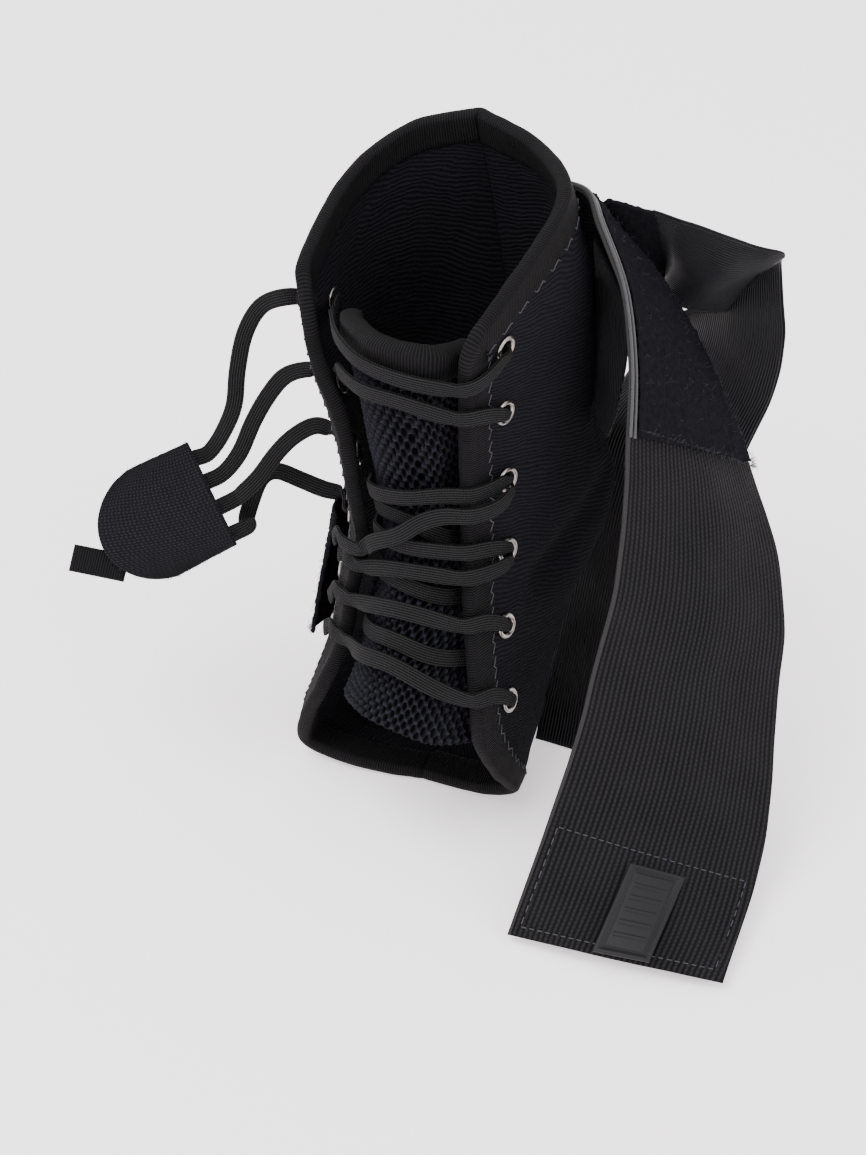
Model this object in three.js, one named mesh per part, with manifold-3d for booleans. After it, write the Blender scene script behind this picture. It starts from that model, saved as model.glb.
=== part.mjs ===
// Lace-up ankle brace in its worn form, in millimetres. +X is the strap side, -Y the front, +Z up.
// The origin lies on the standing plane, under the middle of the ankle opening.
import * as THREE from "three";
import { mergeVertices } from "three/addons/utils/BufferGeometryUtils.js";
import Module from "manifold-3d";

const wasm = await Module();
wasm.setup();

// Driving dimensions
const bodyWidth = 100;
const bodyDepth = 100;
const bodyHeight = 200;
const shellWall = 2.5;
const tongueWall = 3;
const clearance = 0.3;
const bindingTape = 0.9;
const bindingEase = 0.85;
const bindingWidth = 11;
const eyeletCount = 6;
const eyeletTopStrapSide = 0.86 * bodyHeight;
const eyeletDropStrapSide = 0.123 * bodyHeight;
const eyeletTopTabSide = 0.8 * bodyHeight;
const eyeletDropTabSide = 0.11 * bodyHeight;
const eyeletSetbackStrapSide = 17.5;
const eyeletSetbackTabSide = 17;
const eyeletFlange = 5;
const eyeletHole = 2.5;
const eyeletMetal = 0.5;
const laceWidth = 5.6;
const laceThickness = 1.5;
const cuffStrapWidth = 70;
const cuffStrapWall = 1.8;
const cuffBow = 3;
const pileWall = 1.4;
const hookWall = 1.1;
const badgeWidth = 18;
const badgeLength = 32;
const badgeWall = 1.3;
const stabiliserWidth = 48;
const stabiliserWall = 1.4;
const tabEdge = 38;
const tabDepth = 40;
const tabWall = 3;
const tabRibbonWidth = 9;
const tabRibbonLength = 10;
const tabRibbonWall = 1.2;

// Colours of the cloths and the metal
const finish = (color, roughness, metalness = 0) =>
  new THREE.MeshStandardMaterial({ color, roughness, metalness });
const velour = finish("#17171b", 0.95);
const spacerMesh = finish("#15151c", 0.9);
const tape = finish("#1f1e20", 0.75);
const laceCloth = finish("#262628", 0.8);
const elastic = finish("#29292b", 0.8);
const pile = finish("#1b1b1f", 1);
const nylon = finish("#1a1a1d", 0.5);
const hookCloth = finish("#1d1d1f", 0.85);
const nickel = finish("#a39d97", 0.3, 1);
const rubber = finish("#1c1c1e", 0.6);

const brace = new THREE.Group();

function add(name, geometry, material) {
  const mesh = new THREE.Mesh(geometry, material);
  mesh.name = name;
  brace.add(mesh);
  return mesh;
}

// A place given as shares of the body's width, depth and height
const place = ([x, y, z]) => new THREE.Vector3(x * bodyWidth, y * bodyDepth, z * bodyHeight);

function spline(values, share) {
  const last = values.length - 1;
  const at = Math.min(Math.max(share, 0), 1) * last;
  const i = Math.min(Math.floor(at), last - 1);
  const t = at - i;
  const b = values[i];
  const c = values[i + 1];
  const a = i > 0 ? values[i - 1] : b.clone().multiplyScalar(2).sub(c);
  const d = i + 2 <= last ? values[i + 2] : c.clone().multiplyScalar(2).sub(b);
  const point = new THREE.Vector3();
  for (const axis of ["x", "y", "z"]) {
    const slopeB = (c[axis] - a[axis]) / 2;
    const slopeC = (d[axis] - b[axis]) / 2;
    point[axis] =
      b[axis] * (1 + t * t * (2 * t - 3)) +
      c[axis] * t * t * (3 - 2 * t) +
      slopeB * t * (1 - t) * (1 - t) -
      slopeC * t * t * (1 - t);
  }
  return point;
}

// A smooth sheet through a net of places: u runs along each row, v from row to row
const sheet = (net) => (u, v) => spline(net.map((row) => spline(row, u)), v);

function slopes(surface, u, v) {
  const step = 0.004;
  const u0 = Math.max(u - step, 0);
  const u1 = Math.min(u + step, 1);
  const v0 = Math.max(v - step, 0);
  const v1 = Math.min(v + step, 1);
  const along = surface(u1, v).sub(surface(u0, v)).divideScalar(u1 - u0);
  const up = surface(u, v1).sub(surface(u, v0)).divideScalar(v1 - v0);
  return { along, up };
}

// The unit normal; hand is 1 or -1 and picks the face that counts as outside
function normalAt(surface, u, v, hand) {
  const { along, up } = slopes(surface, u, v);
  const normal = along.cross(up);
  if (surface.onSeam?.(u, v)) normal.x = 0;
  return normal.normalize().multiplyScalar(hand);
}

// The same sheet, moved out along its normal
const offset = (surface, hand, distance) => (u, v) =>
  surface(u, v).addScaledVector(normalAt(surface, u, v, hand), distance);

function solidFrom(positions, faces) {
  const geometry = new THREE.BufferGeometry();
  geometry.setAttribute("position", new THREE.Float32BufferAttribute(positions, 3));
  geometry.setIndex(faces);
  const volume = faces.reduce((sum, _, i) => {
    if (i % 3) return sum;
    const [a, b, c] = [0, 1, 2].map((k) => new THREE.Vector3().fromArray(positions, faces[i + k] * 3));
    return sum + a.dot(b.cross(c));
  }, 0);
  if (volume < 0) {
    for (let i = 0; i < faces.length; i += 3) {
      [faces[i + 1], faces[i + 2]] = [faces[i + 2], faces[i + 1]];
    }
    geometry.setIndex(faces);
  }
  return geometry;
}

// Grid lines from one share to another, kept on the lines that divide the whole into equal steps
function gridLines(from, to, steps) {
  const inner = [];
  for (let k = 0; k <= steps; k += 1) {
    const line = k / steps;
    if (line > from + 0.3 / steps && line < to - 0.3 / steps) inner.push(line);
  }
  return [from, ...inner, to];
}

// A closed cloth wall: its outer face is the sheet, raised by the lift, and its inner face lies one
// wall behind. The warp moves grid places before they are looked up on the sheet.
function clothWall(surface, hand, wall, linesU, linesV, lift = 0, warp = (u, v) => [u, v]) {
  const positions = [];
  const faces = [];
  const lastU = linesU.length - 1;
  const lastV = linesV.length - 1;
  const index = (side, i, j) => (side * (lastV + 1) + j) * (lastU + 1) + i;
  for (const depth of [lift, lift - wall]) {
    const face = offset(surface, hand, depth);
    for (const v of linesV) {
      for (const u of linesU) positions.push(...face(...warp(u, v)).toArray());
    }
  }
  const quad = (a, b, c, d) => faces.push(a, b, c, a, c, d);
  for (let j = 0; j < lastV; j += 1) {
    for (let i = 0; i < lastU; i += 1) {
      quad(index(0, i, j), index(0, i + 1, j), index(0, i + 1, j + 1), index(0, i, j + 1));
      quad(index(1, i, j), index(1, i, j + 1), index(1, i + 1, j + 1), index(1, i + 1, j));
    }
  }
  for (let i = 0; i < lastU; i += 1) {
    quad(index(0, i, 0), index(1, i, 0), index(1, i + 1, 0), index(0, i + 1, 0));
    quad(index(0, i, lastV), index(0, i + 1, lastV), index(1, i + 1, lastV), index(1, i, lastV));
  }
  for (let j = 0; j < lastV; j += 1) {
    quad(index(0, 0, j), index(0, 0, j + 1), index(1, 0, j + 1), index(1, 0, j));
    quad(index(0, lastU, j), index(1, lastU, j), index(1, lastU, j + 1), index(0, lastU, j + 1));
  }
  return solidFrom(positions, faces);
}

// A closed solid through rings of places, one ring after another
function ringsSolid(rings) {
  const sides = rings[0].length;
  const positions = rings.flat().flatMap((point) => point.toArray());
  const faces = [];
  for (let k = 0; k + 1 < rings.length; k += 1) {
    for (let i = 0; i < sides; i += 1) {
      const a = k * sides + i;
      const b = k * sides + ((i + 1) % sides);
      faces.push(a, b, b + sides, a, b + sides, a + sides);
    }
  }
  const cap = (ring, flip) => {
    const shape = ring.map((point) => point.clone());
    const origin = shape[0];
    const farther = (best, p) => (p.distanceTo(origin) > best.distanceTo(origin) ? p : best);
    const far = shape.reduce(farther, origin);
    const axisX = far.clone().sub(origin).normalize();
    const area = new THREE.Vector3();
    shape.forEach((p, i) => area.add(p.clone().cross(shape[(i + 1) % sides])));
    const axisY = area.normalize().cross(axisX).normalize();
    const flat = shape.map((p) => {
      const d = p.clone().sub(origin);
      return new THREE.Vector2(d.dot(axisX), d.dot(axisY));
    });
    return THREE.ShapeUtils.triangulateShape(flat, []).map((t) => (flip ? [t[0], t[2], t[1]] : t));
  };
  const base = (rings.length - 1) * sides;
  cap(rings[0], true).forEach((t) => faces.push(...t));
  cap(rings[rings.length - 1], false).forEach((t) => faces.push(...t.map((i) => i + base)));
  return solidFrom(positions, faces);
}

// Boolean cut of a closed geometry by others
function cut(geometry, tools) {
  const toSolid = (source) => {
    const bare = new THREE.BufferGeometry();
    bare.setAttribute("position", source.getAttribute("position"));
    if (source.index) bare.setIndex(source.index);
    const merged = mergeVertices(bare, 1e-4);
    const vertProperties = new Float32Array(merged.getAttribute("position").array);
    const triVerts = new Uint32Array(merged.index.array);
    return new wasm.Manifold(new wasm.Mesh({ numProp: 3, vertProperties, triVerts }));
  };
  let solid = toSolid(geometry);
  for (const tool of tools) solid = solid.subtract(toSolid(tool));
  const mesh = solid.getMesh();
  const result = new THREE.BufferGeometry();
  result.setAttribute("position", new THREE.Float32BufferAttribute(mesh.vertProperties, 3));
  result.setIndex(Array.from(mesh.triVerts));
  return result;
}

// Shell: a section per row, from the sole seam up to the top edge, as shares of the body
const strapSideRows = [
  {
    front: [0.004, -0.46, 0.01], flap: [0.004, -0.34, 0.01], side: [0.004, -0.22, 0.01],
    rear: [0.004, -0.1, 0.01], back: [0.004, 0.02, 0.01],
  },
  {
    front: [0.21, -0.49, 0.025], flap: [0.2, -0.37, 0.03], side: [0.17, -0.24, 0.04],
    rear: [0.15, -0.1, 0.045], back: [0.14, 0.03, 0.045],
  },
  {
    front: [0.345, -0.505, 0.055], flap: [0.325, -0.38, 0.055], side: [0.275, -0.22, 0.055],
    rear: [0.24, -0.08, 0.06], back: [0.22, 0.04, 0.07],
  },
  {
    front: [0.335, -0.615, 0.13], flap: [0.35, -0.45, 0.125], side: [0.335, -0.22, 0.125],
    rear: [0.24, -0.05, 0.135], back: [0.2, 0.08, 0.15],
  },
  {
    front: [0.295, -0.68, 0.215], flap: [0.33, -0.5, 0.215], side: [0.355, -0.2, 0.21],
    rear: [0.28, 0.02, 0.225], back: [0.19, 0.26, 0.25],
  },
  {
    front: [0.269, -0.655, 0.3], flap: [0.305, -0.465, 0.295], side: [0.365, -0.08, 0.305],
    rear: [0.28, 0.19, 0.31], back: [0.004, 0.46, 0.32],
  },
  {
    front: [0.219, -0.585, 0.4], flap: [0.28, -0.395, 0.395], side: [0.41, 0.02, 0.41],
    rear: [0.31, 0.26, 0.415], back: [0.004, 0.46, 0.425],
  },
  {
    front: [0.189, -0.53, 0.49], flap: [0.265, -0.345, 0.485], side: [0.44, 0.06, 0.485],
    rear: [0.34, 0.28, 0.49], back: [0, 0.44, 0.5],
  },
  {
    front: [0.167, -0.495, 0.6], flap: [0.245, -0.32, 0.59], side: [0.38, 0.05, 0.59],
    rear: [0.27, 0.29, 0.6], back: [-0.015, 0.42, 0.61],
  },
  {
    front: [0.164, -0.495, 0.72], flap: [0.23, -0.31, 0.715], side: [0.36, 0.06, 0.73],
    rear: [0.23, 0.29, 0.75], back: [-0.045, 0.4, 0.76],
  },
  {
    front: [0.164, -0.505, 0.82], flap: [0.23, -0.325, 0.83], side: [0.345, 0.06, 0.87],
    rear: [0.19, 0.28, 0.91], back: [-0.09, 0.37, 0.93],
  },
  {
    front: [0.174, -0.53, 0.9], flap: [0.24, -0.36, 0.955], side: [0.29, -0.01, 1.03],
    rear: [0.12, 0.23, 1.045], back: [-0.12, 0.33, 1.06],
  },
];
const tabSideRows = [
  {
    front: [-0.004, -0.46, 0.01], flap: [-0.004, -0.34, 0.01], side: [-0.004, -0.22, 0.01],
    rear: [-0.004, -0.1, 0.01], back: [-0.004, 0.02, 0.01],
  },
  {
    front: [-0.22, -0.49, 0.012], flap: [-0.21, -0.37, 0.012], side: [-0.2, -0.24, 0.012],
    rear: [-0.19, -0.1, 0.012], back: [-0.18, 0.03, 0.012],
  },
  {
    front: [-0.42, -0.5, 0.035], flap: [-0.41, -0.38, 0.03], side: [-0.385, -0.22, 0.03],
    rear: [-0.36, -0.06, 0.035], back: [-0.33, 0.06, 0.05],
  },
  {
    front: [-0.405, -0.54, 0.11], flap: [-0.43, -0.4, 0.11], side: [-0.42, -0.18, 0.115],
    rear: [-0.385, 0.03, 0.13], back: [-0.32, 0.18, 0.15],
  },
  {
    front: [-0.34, -0.56, 0.19], flap: [-0.385, -0.43, 0.19], side: [-0.41, -0.15, 0.195],
    rear: [-0.36, 0.12, 0.22], back: [-0.22, 0.32, 0.25],
  },
  {
    front: [-0.27, -0.52, 0.29], flap: [-0.345, -0.4, 0.285], side: [-0.4, -0.06, 0.295],
    rear: [-0.33, 0.2, 0.31], back: [-0.004, 0.46, 0.32],
  },
  {
    front: [-0.245, -0.505, 0.39], flap: [-0.32, -0.385, 0.385], side: [-0.41, 0.02, 0.4],
    rear: [-0.33, 0.27, 0.415], back: [-0.004, 0.46, 0.425],
  },
  {
    front: [-0.215, -0.48, 0.48], flap: [-0.295, -0.355, 0.48], side: [-0.42, 0.04, 0.49],
    rear: [-0.33, 0.28, 0.5], back: [-0.008, 0.44, 0.5],
  },
  {
    front: [-0.245, -0.475, 0.575], flap: [-0.31, -0.34, 0.58], side: [-0.41, 0.05, 0.59],
    rear: [-0.31, 0.28, 0.6], back: [-0.023, 0.42, 0.61],
  },
  {
    front: [-0.295, -0.435, 0.675], flap: [-0.37, -0.31, 0.67], side: [-0.425, 0.05, 0.7],
    rear: [-0.31, 0.27, 0.74], back: [-0.053, 0.4, 0.76],
  },
  {
    front: [-0.41, -0.36, 0.76], flap: [-0.455, -0.25, 0.76], side: [-0.455, 0.05, 0.83],
    rear: [-0.33, 0.26, 0.89], back: [-0.098, 0.37, 0.93],
  },
  {
    front: [-0.48, -0.3, 0.865], flap: [-0.51, -0.2, 0.9], side: [-0.475, 0.07, 0.975],
    rear: [-0.34, 0.25, 1.03], back: [-0.128, 0.33, 1.06],
  },
];
const shellNet = (rows) => rows.map((row) => [row.front, row.flap, row.side, row.rear, row.back].map(place));

// A dent pressed into a sheet between two places, deepest on the line that joins them
function dented(surface, hand, dent) {
  const from = place(dent.from);
  const to = place(dent.to);
  const line = new THREE.Line3(from, to);
  return (u, v) => {
    const point = surface(u, v);
    const nearest = line.closestPointToPoint(point, true, new THREE.Vector3());
    const away = nearest.distanceTo(point) / dent.reach;
    const normal = normalAt(surface, u, v, hand);
    return point.addScaledVector(normal, -dent.depth * Math.exp(-away * away));
  };
}

const ankleCrease = { from: [0.44, 0.04, 0.5], to: [0.34, -0.27, 0.41], reach: 7, depth: 3.2 };
const anklePad = { from: [0.42, 0.02, 0.42], to: [0.38, -0.14, 0.36], reach: 9, depth: -2.2 };

// The halves meet at the back seam and along the sole
const backSeam = 5 / (strapSideRows.length - 1) - 0.01;
function seamed(surface, rows) {
  const onBack = (u, v) => u > 0.999 && v > backSeam;
  const sewn = (u, v) => {
    const point = surface(u, v);
    if (!onBack(u, v)) return point;
    const at = Math.min(v, 1) * (rows.length - 1);
    const row = Math.min(Math.floor(at), rows.length - 2);
    point.x = THREE.MathUtils.lerp(rows[row].back[0], rows[row + 1].back[0], at - row) * bodyWidth;
    return point;
  };
  return Object.assign(sewn, { onSeam: (u, v) => v < 0.001 || onBack(u, v) });
}

const halves = {
  strap_side: {
    hand: 1,
    surface: seamed(
      dented(dented(sheet(shellNet(strapSideRows)), 1, ankleCrease), 1, anklePad),
      strapSideRows,
    ),
    eyeletTop: eyeletTopStrapSide,
    setback: eyeletSetbackStrapSide,
    drop: eyeletDropStrapSide,
    stepsU: 14,
  },
  tab_side: {
    hand: -1,
    surface: seamed(sheet(shellNet(tabSideRows)), tabSideRows),
    eyeletTop: eyeletTopTabSide,
    setback: eyeletSetbackTabSide,
    drop: eyeletDropTabSide,
    stepsU: 12,
  },
};

// The place on a flap at a setback from its front edge and at a height
function onFlap(half, setback, height) {
  let low = 0.1;
  let high = 1;
  let u = 0;
  for (let i = 0; i < 40; i += 1) {
    const v = (low + high) / 2;
    u = setback / slopes(half.surface, 0, v).along.length();
    if (half.surface(u, v).z < height) low = v;
    else high = v;
  }
  const v = (low + high) / 2;
  return { u, v, point: half.surface(u, v), normal: normalAt(half.surface, u, v, half.hand) };
}

const barrelOuter = eyeletHole + eyeletMetal;
const flangeGap = clearance + 0.35;

const eyeletSides = 8;
function eyeletGeometry() {
  const top = flangeGap + eyeletMetal;
  const bottom = -shellWall - top;
  const profile = [
    [eyeletHole, bottom],
    [eyeletFlange, bottom + eyeletMetal / 2],
    [barrelOuter, bottom + eyeletMetal],
    [barrelOuter, top - eyeletMetal],
    [eyeletFlange, top - eyeletMetal],
    [eyeletFlange - 1, top + eyeletMetal],
    [eyeletHole, top],
    [eyeletHole, bottom],
  ];
  const geometry = new THREE.LatheGeometry(profile.map(([r, z]) => new THREE.Vector2(r, z)), eyeletSides);
  return geometry.rotateX(Math.PI / 2);
}

const shellStepsV = 18;
const up = new THREE.Vector3(0, 0, 1);
const eyelets = { strap_side: [], tab_side: [] };
for (const [side, half] of Object.entries(halves)) {
  const tools = [];
  for (let k = 0; k < eyeletCount; k += 1) {
    const seat = onFlap(half, half.setback, half.eyeletTop - k * half.drop);
    eyelets[side].push(seat);
    const turn = new THREE.Quaternion().setFromUnitVectors(up, seat.normal);
    const boreRadius = barrelOuter + clearance;
    const bore = new THREE.CylinderGeometry(boreRadius, boreRadius, 4 * shellWall, eyeletSides);
    bore.rotateX(Math.PI / 2).applyQuaternion(turn);
    bore.translate(...seat.point.toArray());
    tools.push(bore);
    const ring = add(`eyelet_${side}_${k + 1}`, eyeletGeometry(), nickel);
    ring.quaternion.copy(turn);
    ring.position.copy(seat.point);
  }
  const linesU = gridLines(0, 1, half.stepsU);
  const linesV = gridLines(0, 1, shellStepsV);
  const wall = clothWall(half.surface, half.hand, shellWall, linesU, linesV);
  add(`shell_${side}`, cut(wall, tools), velour);
}

// A place on the shell's faceted wall, between the corners of its grid cell
function onWall(half, u, v, depth) {
  const cell = (share, steps) => {
    const i = Math.min(Math.floor(share * steps + 1e-6), steps - 1);
    return [i / steps, (i + 1) / steps, share * steps - i];
  };
  const [u0, u1, s] = cell(u, half.stepsU);
  const [v0, v1, t] = cell(v, shellStepsV);
  const face = offset(half.surface, half.hand, -depth);
  return face(u0, v0).lerp(face(u1, v0), s).lerp(face(u0, v1).lerp(face(u1, v1), s), t);
}

// Folded tape over an edge of the shell: legs on both faces, joined round the edge
function tapeRing(half, seat) {
  const { surface, hand } = half;
  const { along, up: rise } = slopes(surface, seat.u, seat.v);
  const area = along.clone().cross(rise).length();
  const reachU = 2 / half.stepsU;
  const reachV = bindingWidth * along.length() / area;
  const at = (share, depth, height) => {
    const u = seat.u + seat.inU * reachU * share;
    const v = seat.v + seat.inV * reachV * share;
    return onWall(half, u, v, depth).addScaledVector(normalAt(surface, u, v, hand), height);
  };
  const inward = at(0.1, 0, 0).sub(at(0, 0, 0)).normalize();
  const outer = bindingEase + bindingTape;
  const past = (depth, height, distance) => at(0, depth, height).addScaledVector(inward, -distance);
  const legs = [1, 0.5, 0];
  return [
    ...legs.map((d) => at(d, 0, outer)),
    past(shellWall * 0.25, 0, outer),
    past(shellWall * 0.75, 0, outer),
    ...legs.toReversed().map((d) => at(d, shellWall, -outer)),
    ...legs.map((d) => at(d, shellWall, -bindingEase)),
    past(shellWall, 0, bindingEase),
    past(0, 0, bindingEase),
    ...legs.toReversed().map((d) => at(d, 0, bindingEase)),
  ];
}

for (const [side, half] of Object.entries(halves)) {
  const rings = [];
  for (let j = 1; j < shellStepsV; j += 1) {
    rings.push(tapeRing(half, { u: 0, v: j / shellStepsV, inU: 1, inV: 0 }));
  }
  rings.push(tapeRing(half, { u: 0, v: 1, inU: 1, inV: -1 }));
  for (let i = 2; i < half.stepsU; i += 1) {
    rings.push(tapeRing(half, { u: i / half.stepsU, v: 1, inU: 0, inV: -1 }));
  }
  rings.push(tapeRing(half, { u: 0.985, v: 1, inU: 0, inV: -1 }));
  add(`binding_${side}`, ringsSolid(rings), tape);
}

// Tongue: a section per row, top to bottom, from the tab side to the strap side
const tongueRows = [
  {
    tabEdge: [-0.29, -0.37, 0.865], tab: [-0.245, -0.455, 0.875], tabMid: [-0.14, -0.54, 0.88],
    middle: [-0.03, -0.56, 0.88], strapMid: [0.055, -0.54, 0.878], strap: [0.1, -0.475, 0.868],
    strapEdge: [0.135, -0.39, 0.858],
  },
  {
    tabEdge: [-0.3, -0.34, 0.8], tab: [-0.24, -0.44, 0.8], tabMid: [-0.13, -0.525, 0.8],
    middle: [-0.03, -0.55, 0.8], strapMid: [0.045, -0.53, 0.8], strap: [0.085, -0.465, 0.8],
    strapEdge: [0.12, -0.37, 0.8],
  },
  {
    tabEdge: [-0.255, -0.35, 0.7], tab: [-0.205, -0.44, 0.7], tabMid: [-0.12, -0.52, 0.7],
    middle: [-0.03, -0.545, 0.7], strapMid: [0.045, -0.525, 0.7], strap: [0.083, -0.465, 0.7],
    strapEdge: [0.12, -0.37, 0.7],
  },
  {
    tabEdge: [-0.215, -0.355, 0.575], tab: [-0.155, -0.445, 0.575], tabMid: [-0.1, -0.51, 0.575],
    middle: [-0.02, -0.535, 0.575], strapMid: [0.048, -0.52, 0.575], strap: [0.087, -0.465, 0.575],
    strapEdge: [0.125, -0.375, 0.575],
  },
  {
    tabEdge: [-0.19, -0.37, 0.475], tab: [-0.125, -0.455, 0.475], tabMid: [-0.08, -0.53, 0.475],
    middle: [-0.01, -0.56, 0.475], strapMid: [0.06, -0.55, 0.475], strap: [0.108, -0.495, 0.475],
    strapEdge: [0.15, -0.4, 0.475],
  },
  {
    tabEdge: [-0.205, -0.39, 0.39], tab: [-0.145, -0.485, 0.39], tabMid: [-0.09, -0.585, 0.39],
    middle: [-0.01, -0.64, 0.39], strapMid: [0.07, -0.625, 0.39], strap: [0.133, -0.56, 0.39],
    strapEdge: [0.175, -0.46, 0.39],
  },
  {
    tabEdge: [-0.235, -0.42, 0.3], tab: [-0.175, -0.53, 0.305], tabMid: [-0.1, -0.66, 0.315],
    middle: [0.02, -0.735, 0.32], strapMid: [0.11, -0.715, 0.315], strap: [0.18, -0.63, 0.305],
    strapEdge: [0.225, -0.52, 0.3],
  },
  {
    tabEdge: [-0.24, -0.52, 0.2], tab: [-0.22, -0.63, 0.215], tabMid: [-0.11, -0.765, 0.248],
    middle: [0.03, -0.815, 0.25], strapMid: [0.15, -0.775, 0.225], strap: [0.235, -0.655, 0.195],
    strapEdge: [0.265, -0.56, 0.18],
  },
];
const tongueNet = tongueRows.map((row) =>
  [row.tabEdge, row.tab, row.tabMid, row.middle, row.strapMid, row.strap, row.strapEdge].map(place));
const tongueCrease = { from: [-0.01, -0.54, 0.72], to: [0.04, -0.53, 0.58], reach: 5, depth: 2 };
const tongueHand = -1;
const tongueSurface = dented(sheet(tongueNet), tongueHand, tongueCrease);
const tongueStepsU = 12;
const tongueLines = [gridLines(0, 1, tongueStepsU), gridLines(0, 1, 12)];
add("tongue", clothWall(tongueSurface, tongueHand, tongueWall, ...tongueLines), spacerMesh);

function tongueTape() {
  const rings = [];
  for (const u of gridLines(0.01, 0.99, tongueStepsU)) {
    const reach = bindingWidth / slopes(tongueSurface, u, 0).up.length();
    const at = (share, height) => offset(tongueSurface, tongueHand, height)(u, share * reach);
    const rise = at(0, 0).sub(at(1, 0)).normalize();
    const outer = bindingEase + bindingTape;
    rings.push([
      at(1, outer),
      at(0, outer).addScaledVector(rise, clearance),
      at(0, -tongueWall / 2).addScaledVector(rise, outer),
      at(0, -tongueWall - outer).addScaledVector(rise, clearance),
      at(1, -tongueWall - outer),
      at(1, -tongueWall - bindingEase),
      at(0, -tongueWall - bindingEase).addScaledVector(rise, clearance),
      at(0, bindingEase).addScaledVector(rise, clearance),
      at(1, bindingEase),
    ]);
  }
  return ringsSolid(rings);
}
add("tongue_binding", tongueTape(), tape);

// Half sections of a flat lace, as shares of its width and thickness; a loose lace has rounder edges
const plainSection = [[0.5, 0], [0.4, 0.5], [-0.4, 0.5], [-0.5, 0], [-0.4, -0.5], [0.4, -0.5]];
const looseSection = [
  [0.5, 0.2], [0.38, 0.5], [-0.38, 0.5], [-0.5, 0.2],
  [-0.5, -0.2], [-0.38, -0.5], [0.38, -0.5], [0.5, -0.2],
];

// A flat lace through stations of place, flat-side normal and width
function laceSolid(stations, steps, section) {
  const points = stations.map((s) => s.point);
  const normals = stations.map((s) => s.normal);
  const sizeOf = (s) => new THREE.Vector3(s.width ?? laceWidth, s.thickness ?? laceThickness, 0);
  const widths = stations.map(sizeOf);
  const rings = [];
  for (let k = 0; k <= steps; k += 1) {
    const share = k / steps;
    const point = spline(points, share);
    const ahead = spline(points, Math.min(share + 0.01, 1));
    const behind = spline(points, Math.max(share - 0.01, 0));
    const tangent = ahead.sub(behind).normalize();
    const normal = spline(normals, share);
    normal.addScaledVector(tangent, -normal.dot(tangent)).normalize();
    const across = tangent.clone().cross(normal);
    const size = spline(widths, share);
    const corner = (a, b) =>
      point.clone().addScaledVector(across, a * size.x).addScaledVector(normal, b * size.y);
    rings.push(section.map(([a, b]) => corner(a, b)));
  }
  return ringsSolid(rings);
}

// Lace strands across the tongue. Heights are shares of the body height, and level counts the laces
// beneath; slot shifts two ends that share one eyelet; end says how the strand meets the tab side.
const laceRows = [
  {
    name: "lace_over_1", eyelet: 1, slot: 0, edge: 0.832, middle: 0.848, tab: 0.86, level: 1,
    end: "inside", to: 1,
  },
  {
    name: "lace_over_2", eyelet: 2, slot: 0, edge: 0.775, middle: 0.808, tab: 0.79, level: 1,
    end: "inside", to: 2,
  },
  {
    name: "lace_over_3", eyelet: 3, slot: 1, edge: 0.63, middle: 0.62, tab: 0.595, level: 1,
    end: "beneath",
  },
  {
    name: "lace_over_4", eyelet: 3, slot: -1, edge: 0.6, middle: 0.555, tab: 0.485, level: 2,
    end: "outside", to: 0.465,
  },
  {
    name: "lace_over_5", eyelet: 4, slot: 1, edge: 0.53, middle: 0.53, tab: 0.53, level: 1,
    end: "beneath",
  },
  {
    name: "lace_over_6", eyelet: 4, slot: -1, edge: 0.488, middle: 0.487, tab: 0.445, level: 1,
    end: "outside", to: 0.435,
  },
  {
    name: "lace_over_7", eyelet: 5, slot: 0, edge: 0.413, middle: 0.42, tab: 0.38, level: 1,
    end: "outside", to: 0.352,
  },
  {
    name: "lace_over_8", eyelet: 6, slot: 0, edge: 0.32, middle: 0.35, tab: 0.3, level: 1,
    end: "outside", to: 0.285,
  },
];

// The place on a sheet at a height, on one of its columns
function atHeight(surface, u, height, rising) {
  let low = 0;
  let high = 1;
  for (let i = 0; i < 40; i += 1) {
    const v = (low + high) / 2;
    if ((surface(u, v).z < height) === rising) low = v;
    else high = v;
  }
  return (low + high) / 2;
}

const laceStep = laceThickness + 1.3;
const laceFloor = laceThickness / 2 + 3 * clearance;
const tuckedU = 0.14;
const overBinding = bindingEase + bindingTape + laceThickness / 2 + 3 * clearance;

function laceOnSheet(surface, hand, u, height, rising, lift) {
  const v = atHeight(surface, u, height, rising);
  const normal = normalAt(surface, u, v, hand);
  return { point: surface(u, v).addScaledVector(normal, lift), normal };
}

// A strand turns over the edge of a flap: along its face, round its tape, and clear in front of it
function flapTurn(half, height, extra) {
  const v = atHeight(half.surface, 0, height, true);
  const normal = normalAt(half.surface, 0, v, half.hand);
  const ahead = slopes(half.surface, 0, v).along.normalize().negate();
  const edge = half.surface(0, v);
  const round = overBinding + 0.5 + extra;
  const at = (rise, reach) => edge.clone().addScaledVector(normal, rise).addScaledVector(ahead, reach);
  const diagonal = normal.clone().add(ahead).normalize();
  return [
    { point: at(overBinding + extra, -3.5), normal },
    { point: at(0.75 * round - 0.3, 0.75 * round), normal: diagonal },
    { point: at(-shellWall * 0.7, round + 0.4), normal: ahead },
  ];
}

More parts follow.
